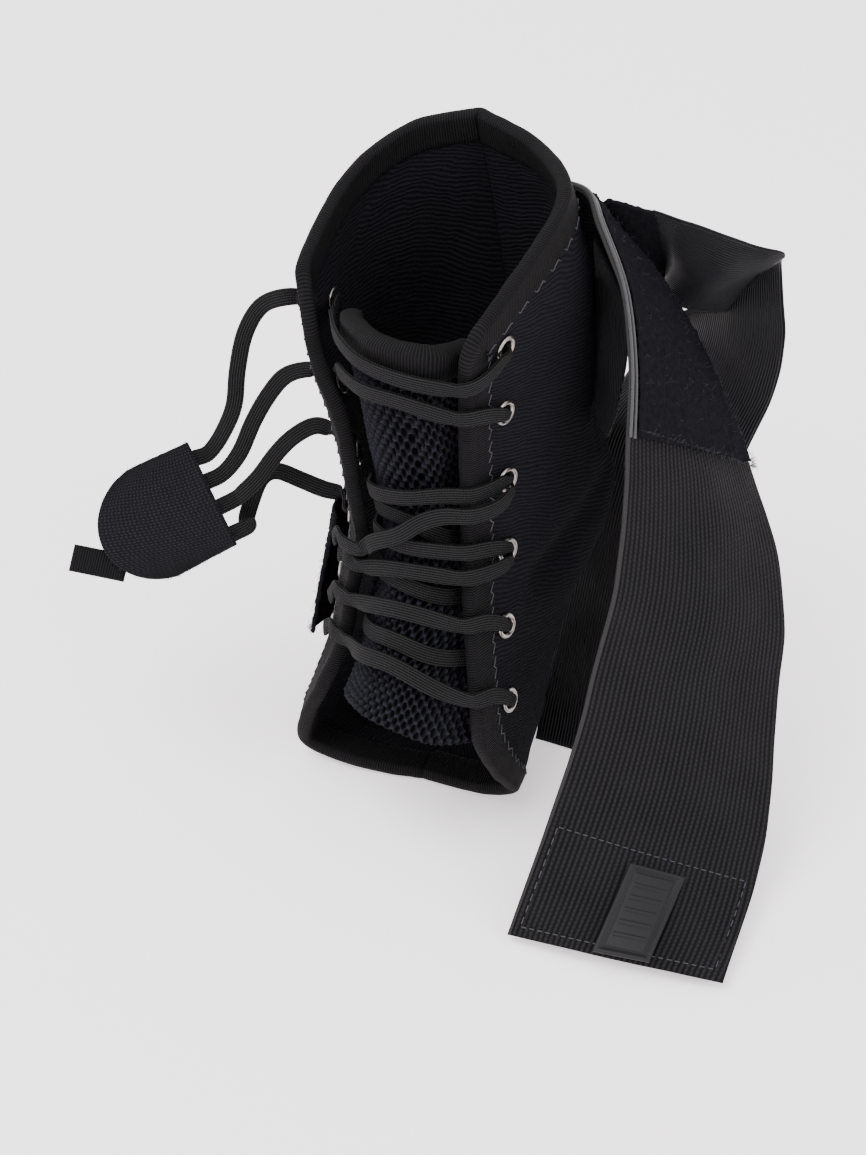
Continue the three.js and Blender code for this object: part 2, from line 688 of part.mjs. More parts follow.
// The end of a strand in an eyelet: in its hole, over its flange, and clear of the ring
function eyeletEnd(seat, toward, slot, inside) {
  const sign = inside ? -1 : 1;
  const normal = seat.normal.clone();
  const flat = toward.clone().sub(seat.point);
  flat.addScaledVector(normal, -flat.dot(normal)).normalize();
  const side = normal.clone().cross(flat);
  const rim = (inside ? shellWall : 0) + flangeGap + 3 * eyeletMetal;
  const narrow = slot ? 1.7 : 3;
  const shift = -slot * 1.15;
  const over = slot < 0 ? laceStep + 0.8 : 0;
  const at = (ahead, height) => seat.point.clone()
    .addScaledVector(flat, ahead).addScaledVector(side, shift).addScaledVector(normal, sign * height);
  return [
    { point: at(-0.6, rim - 1.4), normal: flat.clone().negate(), width: narrow, thickness: 1 },
    {
      point: at(0.6, rim + 1), normal: normal.clone().multiplyScalar(sign).sub(flat), width: narrow,
      thickness: 1,
    },
    {
      point: at(eyeletFlange + 0.5, rim + 1.4 + over), normal: normal.clone().multiplyScalar(sign),
      width: laceWidth * 0.85,
    },
  ];
}

for (const row of laceRows) {
  const strapHalf = halves.strap_side;
  const tabHalf = halves.tab_side;
  const lift = laceFloor + row.level * laceStep;
  const extra = (row.level - 1) * laceStep;
  const turn = flapTurn(strapHalf, row.edge * bodyHeight, extra);
  const start = eyeletEnd(eyelets.strap_side[row.eyelet - 1], turn[0].point, row.slot, false);
  const onTongue = (u, share, extra) =>
    laceOnSheet(tongueSurface, tongueHand, u, share * bodyHeight, false, lift + extra);
  const stations = [
    ...start,
    ...turn,
    onTongue(0.66, (row.edge + row.middle) / 2, 1),
    onTongue(0.5, row.middle, 0),
    onTongue(0.32, (row.middle + row.tab) / 2, 0.4),
  ];
  if (row.end === "outside") {
    stations.push(...flapTurn(tabHalf, row.tab * bodyHeight, extra).toReversed());
    stations.push(laceOnSheet(tabHalf.surface, -1, tuckedU, row.to * bodyHeight, true, overBinding + extra));
  } else if (row.end === "beneath") {
    stations.push(laceOnSheet(tongueSurface, tongueHand, 0.16, row.tab * bodyHeight, false, laceFloor));
  } else {
    const seat = eyelets.tab_side[row.to - 1];
    stations.push(onTongue(0.14, row.tab, 0));
    const last = stations[stations.length - 1].point;
    stations.push(...eyeletEnd(seat, last, 0, true).toReversed());
  }
  add(row.name, laceSolid(stations, 15, plainSection), laceCloth);
}

// Lace strands that pass beneath the strap-side flap
const underRows = [
  { name: "lace_under_1", strap: 0.52, middle: 0.572, tab: 0.56 },
  { name: "lace_under_2", strap: 0.428, middle: 0.458, tab: 0.44 },
  { name: "lace_under_3", strap: 0.335, middle: 0.375, tab: 0.33 },
];
for (const row of underRows) {
  const at = (u, share) => laceOnSheet(tongueSurface, tongueHand, u, share * bodyHeight, false, laceFloor);
  const stations = [
    at(0.9, row.strap), at(0.7, (row.strap + row.middle) / 2), at(0.5, row.middle),
    at(0.3, (row.middle + row.tab) / 2), at(0.14, row.tab),
  ];
  add(row.name, laceSolid(stations, 8, plainSection), laceCloth);
}

// Pull tab: a half-oval pad, laid out from the middle of its straight edge
const tabMiddle = place([-0.745, -0.445, 0.49]);
const tabAlong = new THREE.Vector3(0.65, -0.44, -0.62).normalize();
const tabOut = new THREE.Vector3(-0.46, -0.7, -0.6);
tabOut.addScaledVector(tabAlong, -tabOut.dot(tabAlong)).normalize();
const tabNormal = tabOut.clone().cross(tabAlong).normalize();
const tabUp = tabAlong.clone().cross(tabOut);
const tabFrame = new THREE.Matrix4().makeBasis(tabAlong, tabOut, tabUp).setPosition(tabMiddle);

function pullTab() {
  const outline = new THREE.Shape();
  const half = tabEdge / 2;
  const straight = tabDepth * 0.45;
  outline.moveTo(-half, 0);
  outline.lineTo(half, 0);
  outline.lineTo(half * 1.03, straight);
  outline.bezierCurveTo(half * 1.05, tabDepth * 0.85, half * 0.6, tabDepth, 0, tabDepth);
  outline.bezierCurveTo(-half * 0.6, tabDepth, -half * 1.05, tabDepth * 0.85, -half * 1.03, straight);
  outline.lineTo(-half, 0);
  const geometry = new THREE.ExtrudeGeometry(outline, { depth: tabWall, bevelEnabled: false, curveSegments: 8 });
  geometry.translate(0, 0, -tabWall / 2);
  return geometry.applyMatrix4(tabFrame);
}
add("pull_tab", pullTab(), hookCloth);

function tabRibbon() {
  const geometry = new THREE.BoxGeometry(tabRibbonWidth, tabRibbonLength, tabRibbonWall);
  geometry.translate(0, tabRibbonLength / 2, 0);
  geometry.rotateZ(0.67);
  geometry.translate(tabEdge * 0.1, tabDepth + clearance + tabRibbonWidth * 0.31, 0);
  return geometry.applyMatrix4(tabFrame);
}
add("pull_tab_ribbon", tabRibbon(), tape);

// Free lace ends, from the tab-side eyelets to the pull tab, through places chosen along each run
const tailRoutes = [
  {
    eyelet: 1, seat: -0.36,
    turns: [
      [-0.56, -0.215, 0.822], [-0.65, -0.223, 0.798], [-0.698, -0.257, 0.75], [-0.711, -0.3, 0.688],
      [-0.714, -0.338, 0.626],
    ],
  },
  {
    eyelet: 2, seat: -0.13,
    turns: [
      [-0.546, -0.267, 0.694], [-0.604, -0.293, 0.656], [-0.648, -0.33, 0.608], [-0.681, -0.368, 0.557],
    ],
  },
  {
    eyelet: 3, seat: 0.12,
    turns: [
      [-0.432, -0.297, 0.62], [-0.503, -0.329, 0.599], [-0.552, -0.367, 0.57], [-0.594, -0.413, 0.534],
      [-0.639, -0.445, 0.507],
    ],
  },
  {
    eyelet: 4, seat: 0.38,
    turns: [
      [-0.413, -0.29, 0.492], [-0.512, -0.3, 0.506], [-0.583, -0.308, 0.515], [-0.624, -0.338, 0.504],
      [-0.637, -0.386, 0.474], [-0.642, -0.427, 0.446],
    ],
  },
];
const tailFacing = new THREE.Vector3(0.3, -0.74, 0.6);
tailRoutes.forEach((route, k) => {
  const seat = eyelets.tab_side[route.eyelet - 1];
  const turns = route.turns.map(place);
  const end = tabMiddle.clone()
    .addScaledVector(tabAlong, route.seat * tabEdge)
    .addScaledVector(tabOut, -clearance);
  const lead = end.clone().addScaledVector(tabOut, -laceWidth);
  const stations = [
    ...eyeletEnd(seat, turns[0], 0, false),
    ...turns.map((point) => ({ point, normal: tailFacing })),
    { point: lead, normal: tabNormal },
    { point: end, normal: tabNormal },
  ];
  add(`lace_tail_${k + 1}`, laceSolid(stations, 18, looseSection), laceCloth);
});

// Landing patch: pile that stands off the tab-side flap
const patchRows = [
  { front: [-0.375, -0.32, 0.45] },
  { front: [-0.42, -0.34, 0.335] },
  { front: [-0.455, -0.36, 0.215] },
];
const patchRearU = 0.42;
const patchBulge = new THREE.Vector3(-2, -2, 0);
const patchSeat = offset(halves.tab_side.surface, -1, 2 * clearance + pileWall);
const patchNet = patchRows.map((row) => {
  const front = place(row.front);
  const rear = patchSeat(patchRearU, atHeight(halves.tab_side.surface, patchRearU, front.z, true));
  return [front, front.clone().lerp(rear, 0.5).add(patchBulge), rear];
});
add("landing_patch", clothWall(sheet(patchNet), 1, pileWall, gridLines(0, 1, 4), gridLines(0, 1, 7)), pile);

// Cuff strap: stations from its sewn root to its free end. near is the upper edge, across points to the
// other edge, one strap width away.
const cuffRows = [
  { near: [0.19, 0.315, 0.985], across: [0.1, 0.06, -1] },
  { near: [0.29, 0.18, 1.0], across: [0.16, 0.3, -0.95] },
  { near: [0.38, 0.04, 0.99], across: [0.17, 0.62, -0.78] },
  { near: [0.485, -0.03, 0.905], across: [0.17, 0.67, -0.67] },
  { near: [0.56, -0.15, 0.815], across: [0.27, 0.71, -0.65] },
  { near: [0.6, -0.26, 0.72], across: [0.4, 0.69, -0.57] },
  { near: [0.62, -0.33, 0.615], across: [0.57, 0.63, -0.55] },
  { near: [0.64, -0.44, 0.505], across: [0.65, 0.57, -0.5] },
  { near: [0.63, -0.56, 0.405], across: [0.72, 0.51, -0.47] },
  { near: [0.61, -0.7, 0.275], across: [0.83, 0.37, -0.4] },
  { near: [0.575, -0.83, 0.16], across: [0.92, 0.27, -0.29] },
  { near: [0.535, -1.085, 0.018], across: [0.98, 0.07, 0.015] },
];
const cuffHand = -1;
const cuffNet = cuffRows.map((row, k) => {
  const near = place(row.near);
  const across = new THREE.Vector3(...row.across).normalize();
  const far = near.clone().addScaledVector(across, cuffStrapWidth);
  const next = place(cuffRows[Math.min(k + 1, cuffRows.length - 1)].near);
  const before = place(cuffRows[Math.max(k - 1, 0)].near);
  const face = across.clone().cross(next.sub(before)).normalize();
  return [near, near.clone().lerp(far, 0.5).addScaledVector(face, -cuffBow), far];
});
const cuffRootU = 0.79;
const cuffRootHeights = [0.97, 0.8, 0.62];
const cuffRoot = offset(halves.strap_side.surface, 1, 3 * clearance + cuffStrapWall);
cuffNet[0] = cuffRootHeights.map((share) =>
  cuffRoot(cuffRootU, atHeight(halves.strap_side.surface, cuffRootU, share * bodyHeight, true)));
const cuffSurface = sheet(cuffNet);
const cuffStepsU = 5;
const cuffStepsV = 23;
const cuffLines = [gridLines(0, 1, cuffStepsU), gridLines(0, 1, cuffStepsV)];
add("cuff_strap", clothWall(cuffSurface, cuffHand, cuffStrapWall, ...cuffLines), elastic);

// The pile covers the strap's upper stretch; its lower edge runs aslant
const cuffSpan = cuffRows.length - 1;
const pileFrom = 0.06;
const pileTo = 4.9 / cuffSpan;
const pileSlant = 0.02;
const pileLines = [gridLines(0.04, 0.97, cuffStepsU), gridLines(pileFrom, pileTo, cuffStepsV)];
const pileWarp = (u, v) => [u, v === pileTo ? v + pileSlant * (0.5 - u) : v];
add("cuff_pile_patch",
  clothWall(cuffSurface, cuffHand, pileWall, ...pileLines, 2 * clearance + pileWall, pileWarp), pile);

const hookLines = [gridLines(0.05, 0.95, cuffStepsU), gridLines(0.918, 0.99, cuffStepsV)];
add("cuff_hook_patch",
  clothWall(cuffSurface, cuffHand, hookWall, ...hookLines, -cuffStrapWall - 2 * clearance), hookCloth);

const badgeU = 0.54;
const badgeV = 10.58 / cuffSpan;
const badgeHalfU = badgeWidth / cuffStrapWidth / 2;
const badgeHalfV = badgeLength / slopes(cuffSurface, badgeU, badgeV).up.length() / 2;
const badgeLines = [
  gridLines(badgeU - badgeHalfU, badgeU + badgeHalfU, cuffStepsU),
  gridLines(badgeV - badgeHalfV, badgeV + badgeHalfV, cuffStepsV),
];
add("badge", clothWall(cuffSurface, cuffHand, badgeWall, ...badgeLines, 3 * clearance + badgeWall), rubber);

// Stabilising strap A: a ribbed strap that loops out from the cuff strap's root and down to the sole
const stabiliserRows = [
  { outer: [0.485, 0.24, 0.965], inner: [0.47, 0.51, 0.77], swell: 0 },
  { outer: [0.62, 0.28, 0.945], inner: [0.45, 0.5, 0.72], swell: 2 },
  { outer: [0.78, 0.34, 0.91], inner: [0.5, 0.53, 0.69], swell: 4 },
  { outer: [0.88, 0.38, 0.895], inner: [0.64, 0.58, 0.7], swell: -4 },
  { outer: [0.845, 0.5, 0.83], inner: [0.56, 0.64, 0.7], swell: 2 },
  { outer: [0.875, 0.5, 0.7], inner: [0.5, 0.66, 0.62], swell: 3 },
  { outer: [0.85, 0.52, 0.585], inner: [0.4, 0.62, 0.54], swell: 3 },
  { outer: [0.77, 0.5, 0.447], inner: [0.31, 0.46, 0.48], swell: 2 },
  { outer: [0.72, 0.41, 0.31], inner: [0.25, 0.43, 0.35], swell: 0 },
  { outer: [0.7, 0.26, 0.21], inner: [0.25, 0.36, 0.23], swell: 0 },
  { outer: [0.7, 0.08, 0.11], inner: [0.26, 0.2, 0.12], swell: 0 },
  { outer: [0.76, -0.15, 0.008], inner: [0.28, -0.134, 0.01], swell: 0 },
];
const stabiliserNet = stabiliserRows.map((row) => {
  const outer = place(row.outer);
  const across = place(row.inner).sub(outer).normalize();
  const middle = outer.clone().addScaledVector(across, stabiliserWidth / 2);
  middle.y -= row.swell;
  return [outer, middle, outer.clone().addScaledVector(across, stabiliserWidth)];
});
const foldedStrap = clothWall(
  sheet(stabiliserNet), 1, stabiliserWall, gridLines(0, 1, 3), gridLines(0, 1, 27));
add("stabiliser_strap_a", foldedStrap, nylon);

// Its hook end, stuck to the pile at the cuff strap's root
const hookSeat = offset(cuffSurface, cuffHand, 4 * clearance + pileWall + stabiliserWall);
const hookNet = [
  [0.14, 0.36, 0.58].map((u) => hookSeat(u, 0.88 / cuffSpan)),
  [0.09, 0.36, 0.64].map((u) => hookSeat(u, 1.3 / cuffSpan)),
  stabiliserNet[0],
];
hookNet[2] = hookNet[2].map((point, k) => point.clone().add(new THREE.Vector3(-0.5, -0.3, 0)));
const hookEnd = clothWall(sheet(hookNet), 1, stabiliserWall, gridLines(0, 1, 4), gridLines(0, 1, 6));
add("stabiliser_hook_a", hookEnd, hookCloth);

// Stabilising strap B: its folded end hangs between the shell and the cuff strap
const endRows = [
  { left: [0.31, 0.22, 0.915], right: [0.47, 0.08, 0.845] },
  { left: [0.325, 0.22, 0.83], right: [0.49, 0.06, 0.79] },
  { left: [0.34, 0.19, 0.74], right: [0.49, 0.03, 0.725] },
  { left: [0.38, 0.14, 0.665], right: [0.48, 0, 0.665] },
  { left: [0.425, 0.06, 0.615], right: [0.455, 0, 0.615] },
];
const endNet = endRows.map((row) => {
  const left = place(row.left);
  const right = place(row.right);
  return [left, left.clone().lerp(right, 0.5), right];
});
const foldedEnd = clothWall(sheet(endNet), 1, stabiliserWall, gridLines(0, 1, 4), gridLines(0, 1, 8));
add("stabiliser_strap_b", foldedEnd, nylon);

export default brace;
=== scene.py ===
# Lace-up ankle brace in its worn form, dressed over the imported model. Sizes are in mm until a mesh
# is made; the camera, the floor and the lamps are in metres.
import math

import bmesh
import bpy
import numpy as np
from mathutils import Matrix, Vector, noise


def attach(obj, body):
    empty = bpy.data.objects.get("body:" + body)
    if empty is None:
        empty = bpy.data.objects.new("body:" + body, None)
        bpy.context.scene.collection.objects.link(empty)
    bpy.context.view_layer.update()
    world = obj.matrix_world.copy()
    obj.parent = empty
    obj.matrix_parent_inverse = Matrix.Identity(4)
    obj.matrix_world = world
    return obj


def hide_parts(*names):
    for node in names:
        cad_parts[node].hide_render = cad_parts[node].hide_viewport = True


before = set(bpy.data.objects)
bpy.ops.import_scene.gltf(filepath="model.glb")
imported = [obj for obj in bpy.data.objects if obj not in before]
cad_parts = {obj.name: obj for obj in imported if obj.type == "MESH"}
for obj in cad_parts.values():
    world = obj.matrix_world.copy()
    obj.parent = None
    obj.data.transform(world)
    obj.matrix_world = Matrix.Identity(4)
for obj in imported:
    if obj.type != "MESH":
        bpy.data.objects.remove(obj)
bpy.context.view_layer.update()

# Camera: at the photograph's angle, looking down on the lacing from the front through a long lens.
# It stands 0.9 m from the spot that it looks at.
camera_target = Vector((-0.0049, -0.0258, 0.0706))
camera_azimuth, camera_elevation, camera_distance = math.radians(22), math.radians(37), 0.9
camera_right = Vector((math.cos(camera_azimuth), math.sin(camera_azimuth), 0))
camera_back = Vector((math.sin(camera_azimuth) * math.cos(camera_elevation),
                      -math.cos(camera_azimuth) * math.cos(camera_elevation), math.sin(camera_elevation)))
camera_up = camera_back.cross(camera_right)
camera = bpy.data.objects.new("camera", bpy.data.cameras.new("camera"))
camera.data.lens, camera.data.sensor_width = 85, 36
camera.data.clip_end = 20
turn = Matrix((camera_right, camera_up, camera_back)).transposed().to_4x4()
camera.matrix_world = Matrix.Translation(camera_target + camera_back * camera_distance) @ turn
bpy.context.scene.collection.objects.link(camera)
bpy.context.scene.camera = camera

# Shell: two padded halves of napped velour over foam, sewn together at the back of the heel and
# under the sole. Each is a smooth sheet through the places of its table, with a wall behind it.
MM = 0.001


class Value:
    """A shader socket with arithmetic."""

    def __init__(self, tree, socket):
        self.tree, self.socket = tree, socket

    def node(self, kind, settings=(), inputs=(), output=0):
        made = self.tree.nodes.new(kind)
        for key, value in dict(settings).items():
            setattr(made, key, value)
        for key, value in dict(inputs).items():
            if isinstance(value, Value):
                self.tree.links.new(value.socket, made.inputs[key])
            else:
                made.inputs[key].default_value = value
        return Value(self.tree, made.outputs[output])

    def math(self, operation, *others):
        return self.node("ShaderNodeMath", {"operation": operation}, enumerate((self, *others)))

    def reverse(self, operation, other):
        return self.node("ShaderNodeMath", {"operation": operation}, {0: other, 1: self})

    def __add__(self, other):
        return self.math("ADD", other)

    def __sub__(self, other):
        return self.math("SUBTRACT", other)

    def __mul__(self, other):
        return self.math("MULTIPLY", other)

    def __truediv__(self, other):
        return self.math("DIVIDE", other)

    def __rsub__(self, other):
        return self.reverse("SUBTRACT", other)

    def __rtruediv__(self, other):
        return self.reverse("DIVIDE", other)

    __radd__, __rmul__ = __add__, __mul__


def wave(value, pitch):
    """A smooth ridge from 0 to 1 at every pitch."""
    return (value * (2 * math.pi / pitch)).math("SINE") * 0.5 + 0.5


def speckle(where, scale, detail=3.0, rough=0.6):
    return where.node("ShaderNodeTexNoise", {}, {"Vector": where, "Scale": scale, "Detail": detail,
                                                 "Roughness": rough})


def blend(factor, low, high):
    """A colour between two. The low one may be a colour that varies over the surface."""
    first = low if isinstance(low, Value) else (*low, 1)
    return factor.node("ShaderNodeMix", {"data_type": "RGBA"}, {0: factor, 6: first, 7: (*high, 1)}, 2)


class Finish:
    """A Principled material whose patterns run on the piece's own map, in mm, or on Object coordinates."""

    def __init__(self, name, roughness=0.8, **constants):
        self.material = bpy.data.materials.new(name)
        self.material.use_nodes = True
        tree = self.material.node_tree
        self.shader = tree.nodes["Principled BSDF"]
        coordinates = tree.nodes.new("ShaderNodeTexCoord")
        self.map = Value(tree, coordinates.outputs["UV"])
        self.place = Value(tree, coordinates.outputs["Object"])
        self.across = self.map.node("ShaderNodeSeparateXYZ", {}, {0: self.map}, 0)
        self.along = self.map.node("ShaderNodeSeparateXYZ", {}, {0: self.map}, 1)
        self.shader.inputs["Roughness"].default_value = roughness
        for key, value in constants.items():
            self.shader.inputs[key.replace("_", " ")].default_value = value

    def feed(self, name, value):
        self.map.tree.links.new(value.socket, self.shader.inputs[name])

    def colour(self, factor, low, high):
        self.feed("Base Color", blend(factor, low, high))

    def bump(self, height, depth):
        """A relief of a depth in mm."""
        inputs = {"Strength": 1.0, "Distance": depth * MM, "Height": height}
        self.feed("Normal", height.node("ShaderNodeBump", {}, inputs))


BODY = np.array((100.0, 100.0, 200.0))


def places(rows):
    """Places given as shares of the body's width, depth and height, in mm."""
    return np.array(rows, float) * BODY


def spline(values, shares, each=False):
    """Catmull-Rom through values at shares of the run; each: a run of its own for every share."""
    if not each:
        values = values[None]
    ends = (2 * values[:, :1] - values[:, 1:2], values, 2 * values[:, -1:] - values[:, -2:-1])
    padded = np.concatenate(ends, axis=1)
    last = values.shape[1] - 1
    at = np.clip(shares, 0, 1) * last
    i = np.minimum(np.floor(at).astype(int), last - 1)
    t = (at - i).reshape((-1,) + (1,) * (values.ndim - 2))
    rows = np.arange(len(i)) if each else np.zeros(len(i), int)
    a, b, c, d = (padded[rows, i + k] for k in range(4))
    return (b * (1 + t * t * (2 * t - 3)) + c * t * t * (3 - 2 * t)
            + (c - a) / 2 * t * (1 - t) ** 2 - (d - b) / 2 * t * t * (1 - t))


def unit(vectors):
    return vectors / np.maximum(np.linalg.norm(vectors, axis=-1, keepdims=True), 1e-12)


def halved(low, high, below):
    """Where a test that holds below a place stops holding, found by halving."""
    for _ in range(30):
        middle = (low + high) / 2
        if below(middle):
            low = middle
        else:
            high = middle
    return (low + high) / 2


def within(distance, blur):
    """1 below a distance of 0 and 0 above it, with a soft edge."""
    return 1 / (1 + np.exp(np.clip(distance / blur, -30, 30)))


class Cloth:
    """A smooth sheet through a net of places, in mm: u runs along each row, v from row to row."""

    def __init__(self, net, hand, dents=(), seam=None):
        self.net, self.hand, self.dents, self.seam = np.asarray(net, float), hand, dents, seam

    def bare(self, u, v):
        return spline(spline(self.net.transpose(1, 0, 2), u), v, each=True)

    def bare_normal(self, u, v, point):
        step = 0.004
        low_u, high_u = np.maximum(u - step, 0), np.minimum(u + step, 1)
        low_v, high_v = np.maximum(v - step, 0), np.minimum(v + step, 1)
        along = point(high_u, v) - point(low_u, v)
        rise = point(u, high_v) - point(u, low_v)
        return np.cross(along, rise)

    def point(self, u, v):
        where = self.bare(u, v)
        for start, end, reach, depth in self.dents:
            line = end - start
            share = np.clip((where - start) @ line / (line @ line), 0, 1)[:, None]
            away = np.linalg.norm(where - start - share * line, axis=1) / reach
            out = unit(self.bare_normal(u, v, self.bare)) * self.hand
            where = where - out * (depth * np.exp(-away ** 2))[:, None]
        return where

    def normal(self, u, v):
        out = self.bare_normal(u, v, self.point)
        if self.seam is not None:
            out[self.seam(u, v), 0] = 0
        return unit(out) * self.hand

    def at(self, u, v, lift=0.0):
        u, v = np.atleast_1d(u).astype(float), np.atleast_1d(v).astype(float)
        return self.point(u, v) + self.normal(u, v) * np.reshape(lift, (-1, 1))

    def lengths(self, u, v):
        """Length in mm of a full share of u and of v at a place."""
        step = 0.01
        u0, v0 = min(max(u, step), 1 - step), min(max(v, step), 1 - step)
        p = self.bare(np.array([u0 - step, u0 + step, u0, u0]), np.array([v0, v0, v0 - step, v0 + step]))
        return np.linalg.norm(p[1] - p[0]) / (2 * step), np.linalg.norm(p[3] - p[2]) / (2 * step)

    def level(self, u, height, rising):
        """The v at which a column reaches a height in mm."""
        def below(v):
            return (self.bare(np.array([u]), np.array([v]))[0, 2] < height) == rising

        return halved(0.0, 1.0, below)


def dressed(form, name, finish, replaced=()):
    """A piece made from a bmesh. It rides on the brace and stands for the solids that it replaces."""
    mesh = bpy.data.meshes.new(name)
    form.to_mesh(mesh)
    form.free()
    mesh.shade_smooth()
    mesh.materials.append(finish.material)
    piece = bpy.data.objects.new(name, mesh)
    bpy.context.scene.collection.objects.link(piece)
    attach(piece, "root")
    if replaced:
        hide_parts(*replaced)
    return piece


def numbered(mesh, count_u, count_v):
    """The column, the row and the height of each corner of a grid."""
    corners = np.array([vert.co for vert in mesh.verts])
    i = np.rint((corners[:, 0] + 0.5) * count_u).astype(int)
    j = np.rint((corners[:, 1] + 0.5) * count_v).astype(int)
    return i, j, corners[:, 2]


def mapped(mesh, across, along):
    """Gives each corner its place on the piece's own map."""
    uv = mesh.loops.layers.uv.new("map")
    for face in mesh.faces:
        for loop in face.loops:
            loop[uv].uv = (across[loop.vert.index], along[loop.vert.index])


def layer(name, cloth, steps, wall, finish, span=(0, 1, 0, 1), lift=0.0, relief=None, warp=None,
          replaced=(), pit=None, rim=0.35):
    """A layer of cloth: a grid laid on the sheet, with a wall behind it and a soft rim."""
    count_u, count_v = steps
    mesh = bmesh.new()
    bmesh.ops.create_grid(mesh, x_segments=count_u, y_segments=count_v, size=0.5)
    bmesh.ops.solidify(mesh, geom=mesh.faces[:], thickness=0.01)
    i, j, heights = numbered(mesh, count_u, count_v)
    outer = heights > (heights.max() + heights.min()) / 2
    grid_u, grid_v = np.meshgrid(np.arange(count_u + 1) / count_u, np.arange(count_v + 1) / count_v)
    u = span[0] + (span[1] - span[0]) * grid_u.ravel()
    v = span[2] + (span[3] - span[2]) * grid_v.ravel()
    if warp:
        u, v = warp(u, v)
    points, normals = cloth.point(u, v), cloth.normal(u, v)
    rise = np.full(len(u), float(lift))
    if relief:
        rise = rise + relief(u, v, points)
    shaped = points.reshape(count_v + 1, count_u + 1, 3)
    run_u = np.zeros(shaped.shape[:2])
    run_u[:, 1:] = np.cumsum(np.linalg.norm(np.diff(shaped, axis=1), axis=2), axis=1)
    run_v = np.zeros(count_v + 1)
    run_v[1:] = np.cumsum(np.linalg.norm(np.diff(shaped, axis=0), axis=2).mean(axis=1))
    k = j * (count_u + 1) + i
    rounding = wall * rim * ((i == 0) | (i == count_u) | (j == 0) | (j == count_v))
    back = rise - wall
    if pit:
        rise = rise - pit(run_u.ravel(), np.repeat(run_v, count_u + 1))
    depth = np.where(outer, rise[k] - rounding, back[k] + rounding)
    where = (points[k] + normals[k] * depth[:, None]) * MM
    for vert, co in zip(mesh.verts, where):
        vert.co = co
    mapped(mesh, run_u[j, i], run_v[j])
    bmesh.ops.recalc_face_normals(mesh, faces=mesh.faces[:])
    piece = dressed(mesh, name, finish, replaced)
    piece["flat"] = (float(run_u[:, -1].mean()), float(run_v[-1]))
    return piece


def creased(scale, height, seed):
    """Soft waves in a cloth, height in mm, at a scale in mm."""
    shift = Vector((seed * 17.3, seed * 5.1, seed * 9.7))
    return lambda u, v, p: np.array([noise.noise(Vector(q) / scale + shift) for q in p]) * height


cord_pitch, cord_lean = 1.45, 0.32
velour = Finish("velour", 0.95, Sheen_Weight=0.004, Sheen_Roughness=0.4, Specular_IOR_Level=0.05)
drift = speckle(velour.map, 0.06, 2) * 5
fine_drift = speckle(velour.map, 0.6, 2) * 0.9
cord_lines = wave(velour.along + velour.across * cord_lean + drift + fine_drift, cord_pitch)
nap = speckle(velour.map, 1.6, 5, 0.75)
velour.colour(cord_lines * 0.55 + nap * 0.45, (0.0016, 0.0016, 0.0024), (0.0125, 0.0125, 0.0158))
velour.bump(cord_lines * 0.7 + nap * 0.6, 0.45)

strap_side_rows = (  # front, flap, side, rear, back
    ((0.004, -0.46, 0.01), (0.004, -0.34, 0.01), (0.004, -0.22, 0.01), (0.004, -0.1, 0.01),
     (0.004, 0.02, 0.01)),
    ((0.21, -0.49, 0.025), (0.2, -0.37, 0.03), (0.17, -0.24, 0.04), (0.15, -0.1, 0.045),
     (0.14, 0.03, 0.045)),
    ((0.345, -0.505, 0.055), (0.325, -0.38, 0.055), (0.275, -0.22, 0.055), (0.24, -0.08, 0.06),
     (0.22, 0.04, 0.07)),
    ((0.335, -0.615, 0.13), (0.35, -0.45, 0.125), (0.335, -0.22, 0.125), (0.24, -0.05, 0.135),
     (0.2, 0.08, 0.15)),
    ((0.295, -0.68, 0.215), (0.33, -0.5, 0.215), (0.355, -0.2, 0.21), (0.28, 0.02, 0.225),
     (0.19, 0.26, 0.25)),
    ((0.269, -0.655, 0.3), (0.305, -0.465, 0.295), (0.365, -0.08, 0.305), (0.28, 0.19, 0.31),
     (0.004, 0.46, 0.32)),
    ((0.219, -0.585, 0.4), (0.28, -0.395, 0.395), (0.41, 0.02, 0.41), (0.31, 0.26, 0.415),
     (0.004, 0.46, 0.425)),
    ((0.189, -0.53, 0.49), (0.265, -0.345, 0.485), (0.44, 0.06, 0.485), (0.34, 0.28, 0.49), (0, 0.44, 0.5)),
    ((0.167, -0.495, 0.6), (0.245, -0.32, 0.59), (0.38, 0.05, 0.59), (0.27, 0.29, 0.6),
     (-0.015, 0.42, 0.61)),
    ((0.164, -0.495, 0.72), (0.23, -0.31, 0.715), (0.36, 0.06, 0.73), (0.23, 0.29, 0.75),
     (-0.045, 0.4, 0.76)),
    ((0.164, -0.505, 0.82), (0.23, -0.325, 0.83), (0.345, 0.06, 0.87), (0.19, 0.28, 0.91),
     (-0.09, 0.37, 0.93)),
    ((0.174, -0.53, 0.9), (0.24, -0.36, 0.955), (0.29, -0.01, 1.03), (0.12, 0.23, 1.045),
     (-0.12, 0.33, 1.06)),
)
